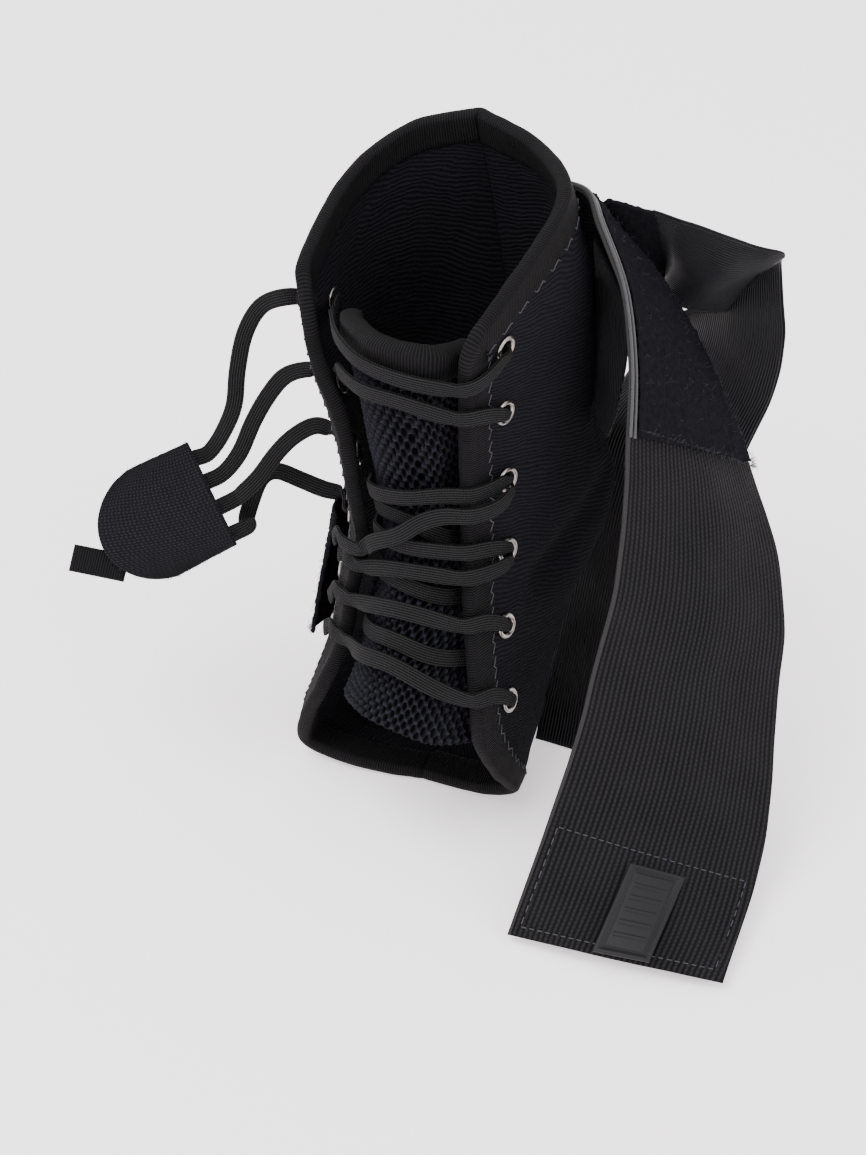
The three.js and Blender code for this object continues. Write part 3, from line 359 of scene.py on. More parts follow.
tab_side_rows = (  # front, flap, side, rear, back
    ((-0.004, -0.46, 0.01), (-0.004, -0.34, 0.01), (-0.004, -0.22, 0.01), (-0.004, -0.1, 0.01),
     (-0.004, 0.02, 0.01)),
    ((-0.22, -0.49, 0.012), (-0.21, -0.37, 0.012), (-0.2, -0.24, 0.012), (-0.19, -0.1, 0.012),
     (-0.18, 0.03, 0.012)),
    ((-0.42, -0.5, 0.035), (-0.41, -0.38, 0.03), (-0.385, -0.22, 0.03), (-0.36, -0.06, 0.035),
     (-0.33, 0.06, 0.05)),
    ((-0.405, -0.54, 0.11), (-0.43, -0.4, 0.11), (-0.42, -0.18, 0.115), (-0.385, 0.03, 0.13),
     (-0.32, 0.18, 0.15)),
    ((-0.34, -0.56, 0.19), (-0.385, -0.43, 0.19), (-0.41, -0.15, 0.195), (-0.36, 0.12, 0.22),
     (-0.22, 0.32, 0.25)),
    ((-0.27, -0.52, 0.29), (-0.345, -0.4, 0.285), (-0.4, -0.06, 0.295), (-0.33, 0.2, 0.31),
     (-0.004, 0.46, 0.32)),
    ((-0.245, -0.505, 0.39), (-0.32, -0.385, 0.385), (-0.41, 0.02, 0.4), (-0.33, 0.27, 0.415),
     (-0.004, 0.46, 0.425)),
    ((-0.215, -0.48, 0.48), (-0.295, -0.355, 0.48), (-0.42, 0.04, 0.49), (-0.33, 0.28, 0.5),
     (-0.008, 0.44, 0.5)),
    ((-0.245, -0.475, 0.575), (-0.31, -0.34, 0.58), (-0.41, 0.05, 0.59), (-0.31, 0.28, 0.6),
     (-0.023, 0.42, 0.61)),
    ((-0.295, -0.435, 0.675), (-0.37, -0.31, 0.67), (-0.425, 0.05, 0.7), (-0.31, 0.27, 0.74),
     (-0.053, 0.4, 0.76)),
    ((-0.41, -0.36, 0.76), (-0.455, -0.25, 0.76), (-0.455, 0.05, 0.83), (-0.33, 0.26, 0.89),
     (-0.098, 0.37, 0.93)),
    ((-0.48, -0.3, 0.865), (-0.51, -0.2, 0.9), (-0.475, 0.07, 0.975), (-0.34, 0.25, 1.03),
     (-0.128, 0.33, 1.06)),
)
seam_draw, back_seam_row, back_column = 0.38, 5, 4
back_seam_from = back_seam_row / (len(strap_side_rows) - 1) - 0.01
shell_wall = 2.5


def on_seam(u, v):
    return (v < 0.001) | ((u > 0.999) & (v > back_seam_from))


# A dent has a start, an end, a reach and a depth; a swelling is a dent with a depth below zero.
ankle_crease = (*places(((0.44, 0.04, 0.5), (0.34, -0.27, 0.41))), 7, 3.2)
ankle_pad = (*places(((0.42, 0.02, 0.42), (0.38, -0.14, 0.36))), 9, -2.2)


def sewn(rows, hand):
    """The half's net with its sole seam and back seam drawn up to the other half's."""
    net = places(rows)
    net[0, :, 0] -= hand * seam_draw
    net[back_seam_row:, back_column, 0] -= hand * seam_draw
    return net


halves = {
    "strap_side": Cloth(sewn(strap_side_rows, 1), 1, (ankle_crease, ankle_pad), on_seam),
    "tab_side": Cloth(sewn(tab_side_rows, -1), -1, (), on_seam),
}
eyelet_lines = {"strap_side": (172, 24.6, 17.5), "tab_side": (160, 22, 17)}  # top, drop, setback
eyelets_in_line = 6


def first_slope(cloth, v):
    """Length in mm of a full share of u, at the front edge."""
    step = 0.004
    p = cloth.bare(np.array([0, step]), np.array([v, v]))
    return np.linalg.norm(p[1] - p[0]) / step


def on_flap(cloth, setback, height):
    """(u, v) at a height on the flap and at a setback from its front edge."""
    def below(v):
        return cloth.bare(np.array([setback / first_slope(cloth, v)]), np.array([v]))[0, 2] < height

    v = halved(0.1, 1.0, below)
    return setback / first_slope(cloth, v), v


eyelets = {}
for side, cloth in halves.items():
    top, drop, setback = eyelet_lines[side]
    eyelets[side] = []
    for k in range(eyelets_in_line):
        u, v = on_flap(cloth, setback, top - k * drop)
        eyelets[side].append((cloth.at(u, v)[0], cloth.normal(np.array([u]), np.array([v]))[0]))

corner_u, corner_v = 0.1, 0.055


def rounded_corner(u, v):
    """The flap's top front corner is rounded off."""
    past = np.clip((v - (1 - corner_v)) / corner_v, 0, 1)
    inset = corner_u * (1 - np.sqrt(1 - past ** 2))
    return inset + (1 - inset) * u, v


flat_reach, hole_reach, hole_blur, hole_deep, still_edge = 6, 2.7, 0.22, 2.0, 0.06


def shell_relief(side, seed):
    """Soft waves in the velour, which lies flat round each eyelet and dips into its hole."""
    soft = creased(19, 0.9, seed)
    fine = creased(7, 0.35, seed + 1)

    def rise(u, v, points):
        still = 1 - np.exp(-(np.minimum(u, 1 - u) / still_edge) ** 2)
        height = (soft(u, v, points) + fine(u, v, points)) * still
        for centre, _ in eyelets[side]:
            away = np.linalg.norm(points - centre, axis=1)
            height = np.where(away < flat_reach, height * (away / flat_reach) ** 2, height)
            height -= hole_deep * within(away - hole_reach, hole_blur)
        return height
    return rise


for side, seed in (("strap_side", 1), ("tab_side", 2)):
    piece = layer(f"shell_{side}_cloth", halves[side], (130, 190), shell_wall, velour, warp=rounded_corner,
                  relief=shell_relief(side, seed), replaced=[f"shell_{side}"])

# Binding: woven tape folded over the shell's front and top edges, held by a zigzag seam. Its ribs
# run across the tape.
tape = Finish("edge_tape", 0.72, Sheen_Weight=0.004, Specular_IOR_Level=0.07)
tape_rib_pitch = 0.85
tape_ribs = wave(tape.along + speckle(tape.map, 0.5, 2) * 0.15, tape_rib_pitch)
tape_wear = speckle(tape.map, 0.35, 4)
tape.colour(tape_ribs * 0.7 + tape_wear * 0.35, (0.0006, 0.0005, 0.0007), (0.0105, 0.0097, 0.011))
tape.bump(tape_ribs + tape_wear * 0.4, 0.5)

thread = Finish("thread", 0.6)
thread.colour(speckle(thread.place, 900, 2), (0.008, 0.008, 0.012), (0.034, 0.034, 0.048))


def threads(name, runs, radius, finish):
    """Stitches: one short tube along each run of places in mm."""
    curve = bpy.data.curves.new(name, "CURVE")
    curve.dimensions = "3D"
    curve.bevel_depth, curve.bevel_resolution = radius * MM, 1
    curve.use_fill_caps = True
    for run in runs:
        line = curve.splines.new("POLY")
        line.points.add(len(run) - 1)
        for point, place in zip(line.points, run):
            point.co = (*(np.asarray(place) * MM), 1)
    drawn = bpy.data.objects.new(name + "_line", curve)
    bpy.context.scene.collection.objects.link(drawn)
    bpy.context.view_layer.update()
    mesh = bmesh.new()
    tubes = drawn.evaluated_get(bpy.context.evaluated_depsgraph_get())
    mesh.from_mesh(bpy.data.meshes.new_from_object(tubes))
    bpy.data.objects.remove(drawn)
    return dressed(mesh, name, finish)


def inside(edge, distance):
    """(u, v) at a distance from an edge, whose rows hold u, v and their turns inward for each mm."""
    u, v, turn_u, turn_v = edge.T
    return np.clip(u + turn_u * distance, 0, 1), np.clip(v + turn_v * distance, 0, 1)


def folded(cloth, edge, reach, wall, rise, nose, probe):
    """The net of a tape folded over an edge: columns run across the tape, rows along the edge. It
    stands off the cloth by rise, comes down to it at its own sides, and its fold stands out by nose."""
    columns = []
    for share in np.linspace(1, 0, 6):
        columns.append(cloth.at(*inside(edge, share * reach), rise if share < 1 else tape_seat))
    rim, out = cloth.point(*inside(edge, 0)), cloth.normal(*inside(edge, 0))
    inward = unit(cloth.point(*inside(edge, probe)) - rim)
    for angle in np.linspace(0, math.pi, 7)[1:-1]:
        height = (wall / 2 + rise) * math.cos(angle) - wall / 2
        columns.append(rim + out * height - inward * (nose * math.sin(angle)))
    for share in np.linspace(0, 1, 6):
        columns.append(cloth.at(*inside(edge, share * reach), -wall - (rise if share < 1 else tape_seat)))
    return np.array(columns).transpose(1, 0, 2)


def run_along(line):
    """Length from the start of a line to each of its points."""
    return np.concatenate(([0], np.cumsum(np.linalg.norm(np.diff(line, axis=0), axis=1))))


tape_thick, tape_rise, tape_seat, tape_nose = 0.75, 1.25, 0.5, 1.6
tape_reach = {"strap_side": 11.0, "tab_side": 9.5}
seam_start, seam_pitch, seam_inset, seam_swing = 2.0, 2.1, 1.3, 1.35
thread_on_tape, thread_on_shell, thread_radius = tape_rise + 0.3, 0.55, 0.22

# Stations along the front edge, round the corner and along the top: u, v, and the way inward
stations = [(0.0, v, 1.0, 0.0) for v in np.linspace(0, 1 - corner_v, 110)]
for angle in np.linspace(0, math.pi / 2, 14)[1:-1]:
    cos, sin = math.cos(angle), math.sin(angle)
    stations.append((corner_u * (1 - cos), 1 - corner_v * (1 - sin), cos, sin))
stations += [(u, 1.0, 0.0, 1.0) for u in np.linspace(corner_u, 1, 80)]
for side, cloth in halves.items():
    reach = tape_reach[side]
    edge = np.array(stations)
    edge[:, 2:] /= [cloth.lengths(u, v) for u, v, _, _ in stations]
    edge[:, 3] *= -1
    net = folded(cloth, edge, reach, shell_wall, tape_rise, tape_nose, 1.0)
    across, along = net.shape[1] - 1, net.shape[0] - 1
    layer(f"binding_{side}_tape", Cloth(net, -cloth.hand), (across * 2, along), tape_thick, tape,
          replaced=[f"binding_{side}"], rim=0.3, relief=creased(6, 0.25, 5))
    run = run_along(cloth.point(edge[:, 0], edge[:, 1]))
    marks = np.arange(seam_start, run[-1] - seam_start, seam_pitch)
    turns = np.column_stack([np.interp(marks, run, column) for column in edge.T])
    swing = reach - seam_inset + seam_swing * np.where(np.arange(len(marks)) % 2, 1, -1)
    lift = np.where(swing > reach, thread_on_shell, thread_on_tape)
    ends = cloth.at(*inside(turns, swing), lift)
    # One stitch in four is on the far side of the cloth.
    stitches = [(ends[k], ends[k + 1]) for k in range(len(ends) - 1) if k % 4 != 3]
    threads(f"zigzag_{side}", stitches, thread_radius, thread)

# Eyelets: two-part nickel rings, six down each flap. Each is pressed through the cloth, with a rolled
# rim outside and a washer inside.
nickel = Finish("nickel", 0.28, Metallic=1.0)
nickel.colour(speckle(nickel.place, 700, 3), (0.16, 0.148, 0.138), (0.4, 0.375, 0.35))
nickel.feed("Roughness", speckle(nickel.place, 1500, 3) * 0.2 + 0.2)
hole, rim_out, inner_face = 2.6, 4.35, -shell_wall
ring_profile = (  # radius, height
    (hole, inner_face - 0.9), (rim_out, inner_face - 0.8), (rim_out, inner_face - 0.45),
    (hole + 0.5, inner_face - 0.3), (hole + 0.5, 0.2), (rim_out - 0.1, 0.15), (rim_out, 0.45),
    (rim_out - 0.3, 0.85), (rim_out - 0.8, 1.08), (hole + 0.5, 0.95), (hole + 0.1, 0.6), (hole, 0.1),
)
for side in halves:
    for k, (centre, out) in enumerate(eyelets[side]):
        mesh = bmesh.new()
        ring = [mesh.verts.new((r * MM, 0, z * MM)) for r, z in ring_profile]
        edges = [mesh.edges.new((ring[n - 1], ring[n])) for n in range(len(ring))]
        bmesh.ops.spin(mesh, geom=ring + edges, cent=(0, 0, 0), axis=(0, 0, 1), angle=2 * math.pi, steps=36,
                       use_merge=True)
        bmesh.ops.remove_doubles(mesh, verts=mesh.verts[:], dist=1e-6)
        bmesh.ops.recalc_face_normals(mesh, faces=mesh.faces[:])
        facing = Vector(out).to_track_quat("Z", "Y").to_matrix().to_4x4()
        bmesh.ops.transform(mesh, matrix=Matrix.Translation(centre * MM) @ facing, verts=mesh.verts[:])
        dressed(mesh, f"ring_{side}_{k + 1}", nickel, [f"eyelet_{side}_{k + 1}"])

# Tongue: spacer mesh over foam, behind the lacing. The mesh is knitted round oval pits, and the
# tongue is sewn in at its foot.
mesh_cloth = Finish("spacer_mesh", 0.85, Sheen_Weight=0.004, Specular_IOR_Level=0.06)
# The pits are painted near-black: painted shade in the hollows of the knit, on top of their real depth.
painted_pit_shade = mesh_cloth.map.node("ShaderNodeAttribute", {"attribute_name": "pit"}, (), 2)
yarn = speckle(mesh_cloth.map, 1.3, 4)
knit = wave(mesh_cloth.along, 0.7) * 0.5 + wave(mesh_cloth.across, 0.6) * 0.5
ground = blend(yarn * 0.6 + knit * 0.4, (0.004, 0.004, 0.006), (0.027, 0.027, 0.037))
mesh_cloth.colour(painted_pit_shade, ground, (0.0004, 0.0004, 0.0006))
mesh_cloth.bump(yarn * 0.5 + knit * 0.7, 0.2)

tongue_rows = (  # tab edge, tab, tab mid, middle, strap mid, strap, strap edge
    ((-0.29, -0.37, 0.865), (-0.245, -0.455, 0.875), (-0.14, -0.54, 0.88), (-0.03, -0.56, 0.88),
     (0.055, -0.54, 0.878), (0.1, -0.475, 0.868), (0.135, -0.39, 0.858)),
    ((-0.3, -0.34, 0.8), (-0.24, -0.44, 0.8), (-0.13, -0.525, 0.8), (-0.03, -0.55, 0.8),
     (0.045, -0.53, 0.8), (0.085, -0.465, 0.8), (0.12, -0.37, 0.8)),
    ((-0.255, -0.35, 0.7), (-0.205, -0.44, 0.7), (-0.12, -0.52, 0.7), (-0.03, -0.545, 0.7),
     (0.045, -0.525, 0.7), (0.083, -0.465, 0.7), (0.12, -0.37, 0.7)),
    ((-0.215, -0.355, 0.575), (-0.155, -0.445, 0.575), (-0.1, -0.51, 0.575), (-0.02, -0.535, 0.575),
     (0.048, -0.52, 0.575), (0.087, -0.465, 0.575), (0.125, -0.375, 0.575)),
    ((-0.19, -0.37, 0.475), (-0.125, -0.455, 0.475), (-0.08, -0.53, 0.475), (-0.01, -0.56, 0.475),
     (0.06, -0.55, 0.475), (0.108, -0.495, 0.475), (0.15, -0.4, 0.475)),
    ((-0.205, -0.39, 0.39), (-0.145, -0.485, 0.39), (-0.09, -0.585, 0.39), (-0.01, -0.64, 0.39),
     (0.07, -0.625, 0.39), (0.133, -0.56, 0.39), (0.175, -0.46, 0.39)),
    ((-0.235, -0.42, 0.3), (-0.175, -0.53, 0.305), (-0.1, -0.66, 0.315), (0.02, -0.735, 0.32),
     (0.11, -0.715, 0.315), (0.18, -0.63, 0.305), (0.225, -0.52, 0.3)),
    ((-0.24, -0.52, 0.2), (-0.22, -0.63, 0.215), (-0.11, -0.765, 0.248), (0.03, -0.815, 0.25),
     (0.15, -0.775, 0.225), (0.235, -0.655, 0.195), (0.265, -0.56, 0.18)),
)
tongue_wall = 3
tongue_crease = (*places(((-0.01, -0.54, 0.73), (0.04, -0.53, 0.58))), 3.8, 3.2)
tongue = Cloth(places(tongue_rows), -1, (tongue_crease,))
pit_step_x, pit_step_y, pit_x, pit_y, pit_deep = 3.6, 5.0, 0.98, 1.85, 1.8


def mesh_pit(x, y):
    """How deep the pits are, as a share, on two staggered lattices."""
    depth = np.zeros_like(x)
    for shift in (0.0, 0.5):
        off_x = (x / pit_step_x + shift) % 1 - 0.5
        off_y = (y / pit_step_y + shift) % 1 - 0.5
        away = np.hypot(off_x * pit_step_x / pit_x, off_y * pit_step_y / pit_y)
        depth = np.maximum(depth, within(away - 1, 0.1))
    return depth


piece = layer("tongue_mesh", tongue, (150, 270), tongue_wall, mesh_cloth,
              pit=lambda x, y: mesh_pit(x, y) * pit_deep, relief=creased(22, 1.2, 7), replaced=["tongue"])
map_places = np.zeros(len(piece.data.loops) * 2)
piece.data.uv_layers["map"].data.foreach_get("uv", map_places)
vertex_of = np.zeros(len(piece.data.loops), int)
piece.data.loops.foreach_get("vertex_index", vertex_of)
# Each corner keeps its pit share on the mesh, where the finish reads it for the painted shade in the pits.
pit_share = np.zeros(len(piece.data.vertices))
pit_share[vertex_of] = mesh_pit(map_places[0::2], map_places[1::2])
piece.data.attributes.new("pit", "FLOAT", "POINT").data.foreach_set("value", pit_share)

# Tongue binding: the same woven tape as the shell's, folded over the tongue's top edge and sewn
# through it
tongue_tape_reach, tongue_tape_rise, tongue_tape_nose = 10.5, 1.3, 1.5
turn_down = 1 / tongue.lengths(0.5, 0.02)[1]
edge = np.array([(u, 0.0, 0.0, turn_down) for u in np.linspace(0.004, 0.996, 60)])
net = folded(tongue, edge, tongue_tape_reach, tongue_wall, tongue_tape_rise, tongue_tape_nose,
             tongue_tape_reach * 0.2)
layer("tongue_tape", Cloth(net, 1), (34, 118), tape_thick, tape, replaced=["tongue_binding"],
      rim=0.3, relief=creased(6, 0.25, 9))

# Laces: flat braid, 5.6 mm wide, threaded through the eyelets and over the tongue. Eight strands lie
# on top, and three beneath them.
braid = Finish("lace_braid", 0.75, Sheen_Weight=0.004, Specular_IOR_Level=0.07)
braid_ribs = wave(braid.across, 0.82)
braid_weave = wave(braid.along + wave(braid.across, 1.64) * 0.45, 0.9)
braid_fuzz = speckle(braid.map, 0.9, 3)
braid.colour(braid_ribs * 0.8 + braid_weave * 0.2 + braid_fuzz * 0.25 - 0.15, (0.0005, 0.0005, 0.0007),
             (0.021, 0.0208, 0.0222))
braid.bump(braid_ribs * 0.7 + braid_weave * 0.4, 0.5)

lace_width, lace_thick, lace_gap = 5.6, 1.5, 1.3
clearance = 0.3
lace_step = lace_thick + lace_gap
lace_floor = lace_thick / 2 + 3 * clearance
binding_ease, binding_tape = 0.85, 0.9
over_binding = binding_ease + binding_tape + lace_thick / 2 + 3 * clearance
flange, metal = 5, 0.5
edge_round, face_round = 0.75, 0.6
map_middle = 20  # of the braid's map, across
strap_cloth, tab_cloth = halves["strap_side"], halves["tab_side"]


def eased(line, reach):
    """The line drawn tight: softened over a reach in mm, its first and last stretches kept."""
    along = run_along(line)
    near = np.exp(-((along[:, None] - along[None]) / reach) ** 2)
    soft = near @ line / near.sum(1, keepdims=True)
    keep = np.clip(np.minimum(along - 4, along[-1] - along - 4) / 6, 0, 1)[:, None]
    return line + (soft - line) * keep * keep * (3 - 2 * keep)


def lace(name, stations, steps, replaced, reach=7.0):
    """A braid through stations of place, flat-side normal, width and thickness, its line eased over
    a reach. Returns the piece and the line in metres."""
    count = 16
    mesh = bmesh.new()
    bmesh.ops.create_grid(mesh, x_segments=count, y_segments=steps, size=0.5)
    points, normals = (np.array([station[n] for station in stations]) for n in (0, 1))
    sizes = np.array([(*station[2:], lace_width, lace_thick)[:2] for station in stations])
    share = np.arange(steps + 1) / steps
    line = eased(spline(points, share), reach)
    ahead = unit(np.gradient(line, axis=0))
    normal = spline(normals, share)
    normal = unit(normal - ahead * (normal * ahead).sum(1, keepdims=True))
    across = np.cross(ahead, normal)
    size = spline(sizes, share)
    angle = 2 * math.pi * np.arange(count + 1) / count
    flat = np.sign(np.cos(angle)) * np.abs(np.cos(angle)) ** edge_round * 0.5
    tall = np.sign(np.sin(angle)) * np.abs(np.sin(angle)) ** face_round * 0.5
    rings = (line[:, None] + across[:, None] * (flat[None, :, None] * size[:, None, :1])
             + normal[:, None] * (tall[None, :, None] * size[:, None, 1:]))
    along = run_along(line)
    map_across = flat * lace_width * np.where(tall >= 0, 1, -1) + map_middle
    i, j, _ = numbered(mesh, count, steps)
    mapped(mesh, map_across[i], along[j])
    for vert, a, b in zip(mesh.verts, i, j):
        vert.co = rings[b, a] * MM
    bmesh.ops.remove_doubles(mesh, verts=mesh.verts[:], dist=1e-6)
    bmesh.ops.holes_fill(mesh, edges=[e for e in mesh.edges if e.is_boundary], sides=0)
    bmesh.ops.recalc_face_normals(mesh, faces=mesh.faces[:])
    return dressed(mesh, name, braid, replaced), line * MM


def on_cloth(cloth, u, height, rising, lift):
    """The station at a height on a column of a cloth: its place, lifted off, and the normal there."""
    v = cloth.level(u, height, rising)
    return cloth.at(u, v, lift)[0], cloth.normal(np.array([u]), np.array([v]))[0]


def on_tongue(u, share, lift):
    return on_cloth(tongue, u, share * body_height, False, lift)


def flap_turn(cloth, height, extra):
    """The stations of a strand that comes over a flap's bound edge and turns down inside it."""
    v = cloth.level(0.0, height, True)
    zero, there = np.array([0.0]), np.array([v])
    out = cloth.normal(zero, there)[0]
    ahead = -unit(cloth.bare(np.array([0.004]), there)[0] - cloth.bare(zero, there)[0])
    edge = cloth.point(zero, there)[0]
    round_it = over_binding + 0.5 + extra
    return [(edge + out * (over_binding + extra) - ahead * 3.5, out),
            (edge + out * (0.75 * round_it - 0.3) + ahead * 0.75 * round_it, unit(out + ahead)),
            (edge - out * shell_wall * 0.7 + ahead * (round_it + 0.4), ahead)]


def eyelet_end(seat, toward, slot, inside_flap):
    """The stations of a strand from an eyelet's hole out over its rim, toward a place. A slot of 1 or
    -1 keeps the strand to its own half of the hole, and -1 also lifts it over the other strand."""
    sign = -1 if inside_flap else 1
    centre, out = seat
    flat = toward - centre
    flat = unit(flat - out * (flat @ out))
    side = np.cross(out, flat)
    rim = (shell_wall if inside_flap else 0) + clearance + 0.35 + 3 * metal
    narrow, shift = (1.7 if slot else 3), -slot * 1.15
    over = lace_step + 0.8 if slot < 0 else 0

    def at(forward, height):
        return centre + flat * forward + side * shift + out * (sign * height)

    return [(at(-0.9, -0.4), -flat, narrow, 1), (at(-0.6, rim - 1.4), -flat, narrow, 1),
            (at(0.6, rim + 0.4), out * sign - flat, narrow, 1.1),
            (at(flange + 0.5, rim + 1.0 + over), out * sign, lace_width * 0.85, lace_thick)]


body_height = BODY[2]
lace_rows = (  # name, eyelet, slot, edge, middle, tab, level, end, to
    ("lace_over_1", 1, 0, 0.832, 0.848, 0.86, 1, "inside", 1),
    ("lace_over_2", 2, 0, 0.775, 0.808, 0.79, 1, "inside", 2),
    ("lace_over_3", 3, 1, 0.63, 0.62, 0.595, 1, "beneath", 0),
    ("lace_over_4", 3, -1, 0.6, 0.555, 0.485, 2, "outside", 0.465),
    ("lace_over_5", 4, 1, 0.53, 0.53, 0.53, 1, "beneath", 0),
    ("lace_over_6", 4, -1, 0.488, 0.487, 0.445, 1, "outside", 0.435),
    ("lace_over_7", 5, 0, 0.413, 0.42, 0.38, 1, "outside", 0.352),
    ("lace_over_8", 6, 0, 0.3, 0.345, 0.3, 1, "outside", 0.285),
)
for name, eyelet, slot, edge, middle, tab, level, end, to in lace_rows:
    lift, extra = lace_floor + level * lace_step, (level - 1) * lace_step
    turn = flap_turn(strap_cloth, edge * body_height, extra)
    stations = [*eyelet_end(eyelets["strap_side"][eyelet - 1], turn[0][0], slot, False), *turn,
                on_tongue(0.66, (edge + middle) / 2, lift + 1), on_tongue(0.5, middle, lift),
                on_tongue(0.32, (middle + tab) / 2, lift + 0.4)]
    if end == "outside":
        stations += flap_turn(tab_cloth, tab * body_height, extra)[::-1]
        stations.append(on_cloth(tab_cloth, 0.14, to * body_height, True, over_binding + extra))
    elif end == "beneath":
        stations.append(on_tongue(0.16, tab, lace_floor))
    else:
        stations.append(on_tongue(0.14, tab, lift))
        stations += eyelet_end(eyelets["tab_side"][to - 1], stations[-1][0], 0, True)[::-1]
    lace(name + "_braid", stations, 120, [name])

under_rows = (  # name, strap, middle, tab
    ("lace_under_1", 0.52, 0.572, 0.56),
    ("lace_under_2", 0.428, 0.458, 0.44),
    ("lace_under_3", 0.335, 0.375, 0.33),
)
for name, strap, middle, tab in under_rows:
    route = ((0.9, strap), (0.7, (strap + middle) / 2), (0.5, middle), (0.3, (middle + tab) / 2),
             (0.14, tab))
    lace(name + "_braid", [on_tongue(u, share, lace_floor) for u, share in route], 80, [name])

# Pull tab: a half-oval pad of hook cloth, into whose straight edge the four free lace ends are sewn.
# It sticks to the landing patch when the laces are drawn.
hook_cloth = Finish("hook_cloth", 0.9, Sheen_Weight=0.004, Specular_IOR_Level=0.08)
row_lean = hook_cloth.along + wave(hook_cloth.across, 2.1) * 0.35
hooks = wave(hook_cloth.across, 1.05) * wave(row_lean, 1.15)
fluff = speckle(hook_cloth.map, 0.8, 4, 0.7)
hook_cloth.colour(hooks * 0.75 + fluff * 0.3, (0.001, 0.001, 0.0016), (0.023, 0.023, 0.027))
hook_cloth.bump(hooks + fluff * 0.3, 0.5)

tab_edge, tab_depth, tab_wall, tab_square = 38, 40, 3, 0.45
tab_middle = places((-0.745, -0.445, 0.49))
tab_along = unit(np.array((0.65, -0.44, -0.62)))
tab_out = np.array((-0.46, -0.7, -0.6))
tab_out = unit(tab_out - tab_along * (tab_out @ tab_along))
tab_up = np.cross(tab_along, tab_out)
tab_normal = np.cross(tab_out, tab_along)
tab_rows = []
for y in np.linspace(0, 1, 9):
    row = []
    for x in np.linspace(-1, 1, 17):
        wide = math.sin(x * math.pi / 2) * 0.985
        deep = tab_depth * (tab_square + (1 - tab_square) * math.sqrt(1 - wide ** 2))
        bow = 0.36 * math.cos(y * 3) * math.cos(wide * 2)
        side = wide * tab_edge / 2 * (1 + 0.03 * y)
        row.append(tab_middle + tab_along * side + tab_out * (y * deep) + tab_up * (bow - tab_wall / 2))
    tab_rows.append(row)
pull_tab = layer("pull_tab_pad", Cloth(tab_rows, 1), (70, 60), tab_wall, hook_cloth, replaced=["pull_tab"],
                 relief=creased(5, 0.5, 11), rim=0.3)

# Pull tab ribbon: a short loop of the binding's tape, sewn in at the pad's far end
ribbon_width, ribbon_wall, ribbon_in, ribbon_out = 9, 1.1, 9, 10
ribbon_turn = 0.67  # radians, from the pad's middle line
ribbon_far = tab_depth + clearance + ribbon_width * 0.31
ribbon_cos, ribbon_sin = math.cos(ribbon_turn), math.sin(ribbon_turn)
ribbon_rows = []
for y in np.linspace(-ribbon_in, ribbon_out, 8):
    row = []
    for x in np.linspace(-ribbon_width / 2, ribbon_width / 2, 3):
        side = x * ribbon_cos - y * ribbon_sin + tab_edge * 0.1
        deep = x * ribbon_sin + y * ribbon_cos + ribbon_far
        row.append(tab_middle + tab_along * side + tab_out * deep + tab_up * (0.06 * y - 0.6))
    ribbon_rows.append(row)
ribbon = layer("pull_tab_loop", Cloth(ribbon_rows, 1), (20, 30), ribbon_wall, tape,
               replaced=["pull_tab_ribbon"])

# Free lace ends: the same braid, from the four upper tab-side eyelets to the pull tab in open curves.
# Their ends are sewn into the pad's edge.
tail_routes = (  # eyelet, seat along the pull tab's edge, turns as shares of the body
    (1, -0.36, ((-0.56, -0.215, 0.822), (-0.65, -0.223, 0.798), (-0.698, -0.257, 0.75),
                (-0.711, -0.3, 0.688), (-0.714, -0.338, 0.626))),
    (2, -0.13, ((-0.546, -0.267, 0.694), (-0.604, -0.293, 0.656), (-0.648, -0.33, 0.608),
                (-0.681, -0.368, 0.557))),
    (3, 0.12, ((-0.432, -0.297, 0.62), (-0.503, -0.329, 0.599), (-0.552, -0.367, 0.57),
               (-0.594, -0.413, 0.534), (-0.639, -0.445, 0.507))),
    (4, 0.38, ((-0.413, -0.29, 0.492), (-0.512, -0.3, 0.506), (-0.583, -0.308, 0.515),
               (-0.624, -0.338, 0.504), (-0.637, -0.386, 0.474), (-0.642, -0.427, 0.446))),
)
tail_facing = np.array((0.3, -0.74, 0.6))
for k, (eyelet, seat, turns) in enumerate(tail_routes):
    turns = places(turns)
    end = tab_middle + tab_along * (seat * tab_edge) - tab_out * clearance
    stations = [*eyelet_end(eyelets["tab_side"][eyelet - 1], turns[0], 0, False)[1:],
                *((point, tail_facing) for point in turns),
                (end - tab_out * lace_width, tab_normal), (end + tab_out * 1.5, tab_normal)]
    tail, line = lace(f"lace_tail_{k + 1}_braid", stations, 110, [f"lace_tail_{k + 1}"], reach=2.5)
    run = float(run_along(line)[-1])

# Landing patch: brushed loop pile sewn on the tab side, where the pull tab sticks. Its front edge
# stands off the shell.
pile = Finish("loop_pile", 1.0, Sheen_Weight=0.008, Sheen_Roughness=0.6, Specular_IOR_Level=0.03)
loops_fine = speckle(pile.map, 1.5, 6, 0.8)
tufts = speckle(pile.map, 0.45, 4, 0.7)
pile.colour((loops_fine * 0.6 + tufts * 0.5 - 0.22) * 1.6, (0.0006, 0.0006, 0.0012),
            (0.0135, 0.0135, 0.0185))
pile.bump(loops_fine + tufts * 0.6, 1.3)


def fluffy(height, seed):
    """The pile's own uneven surface, in mm."""
    coarse, fine = creased(2.6, height, seed), creased(1.2, height, seed + 3)
    return lambda u, v, p: coarse(u, v, p) + fine(u, v, p)


lint = Finish("lint", 0.9)
lint.colour(speckle(lint.place, 700, 2), (0.003, 0.003, 0.005), (0.022, 0.022, 0.03))


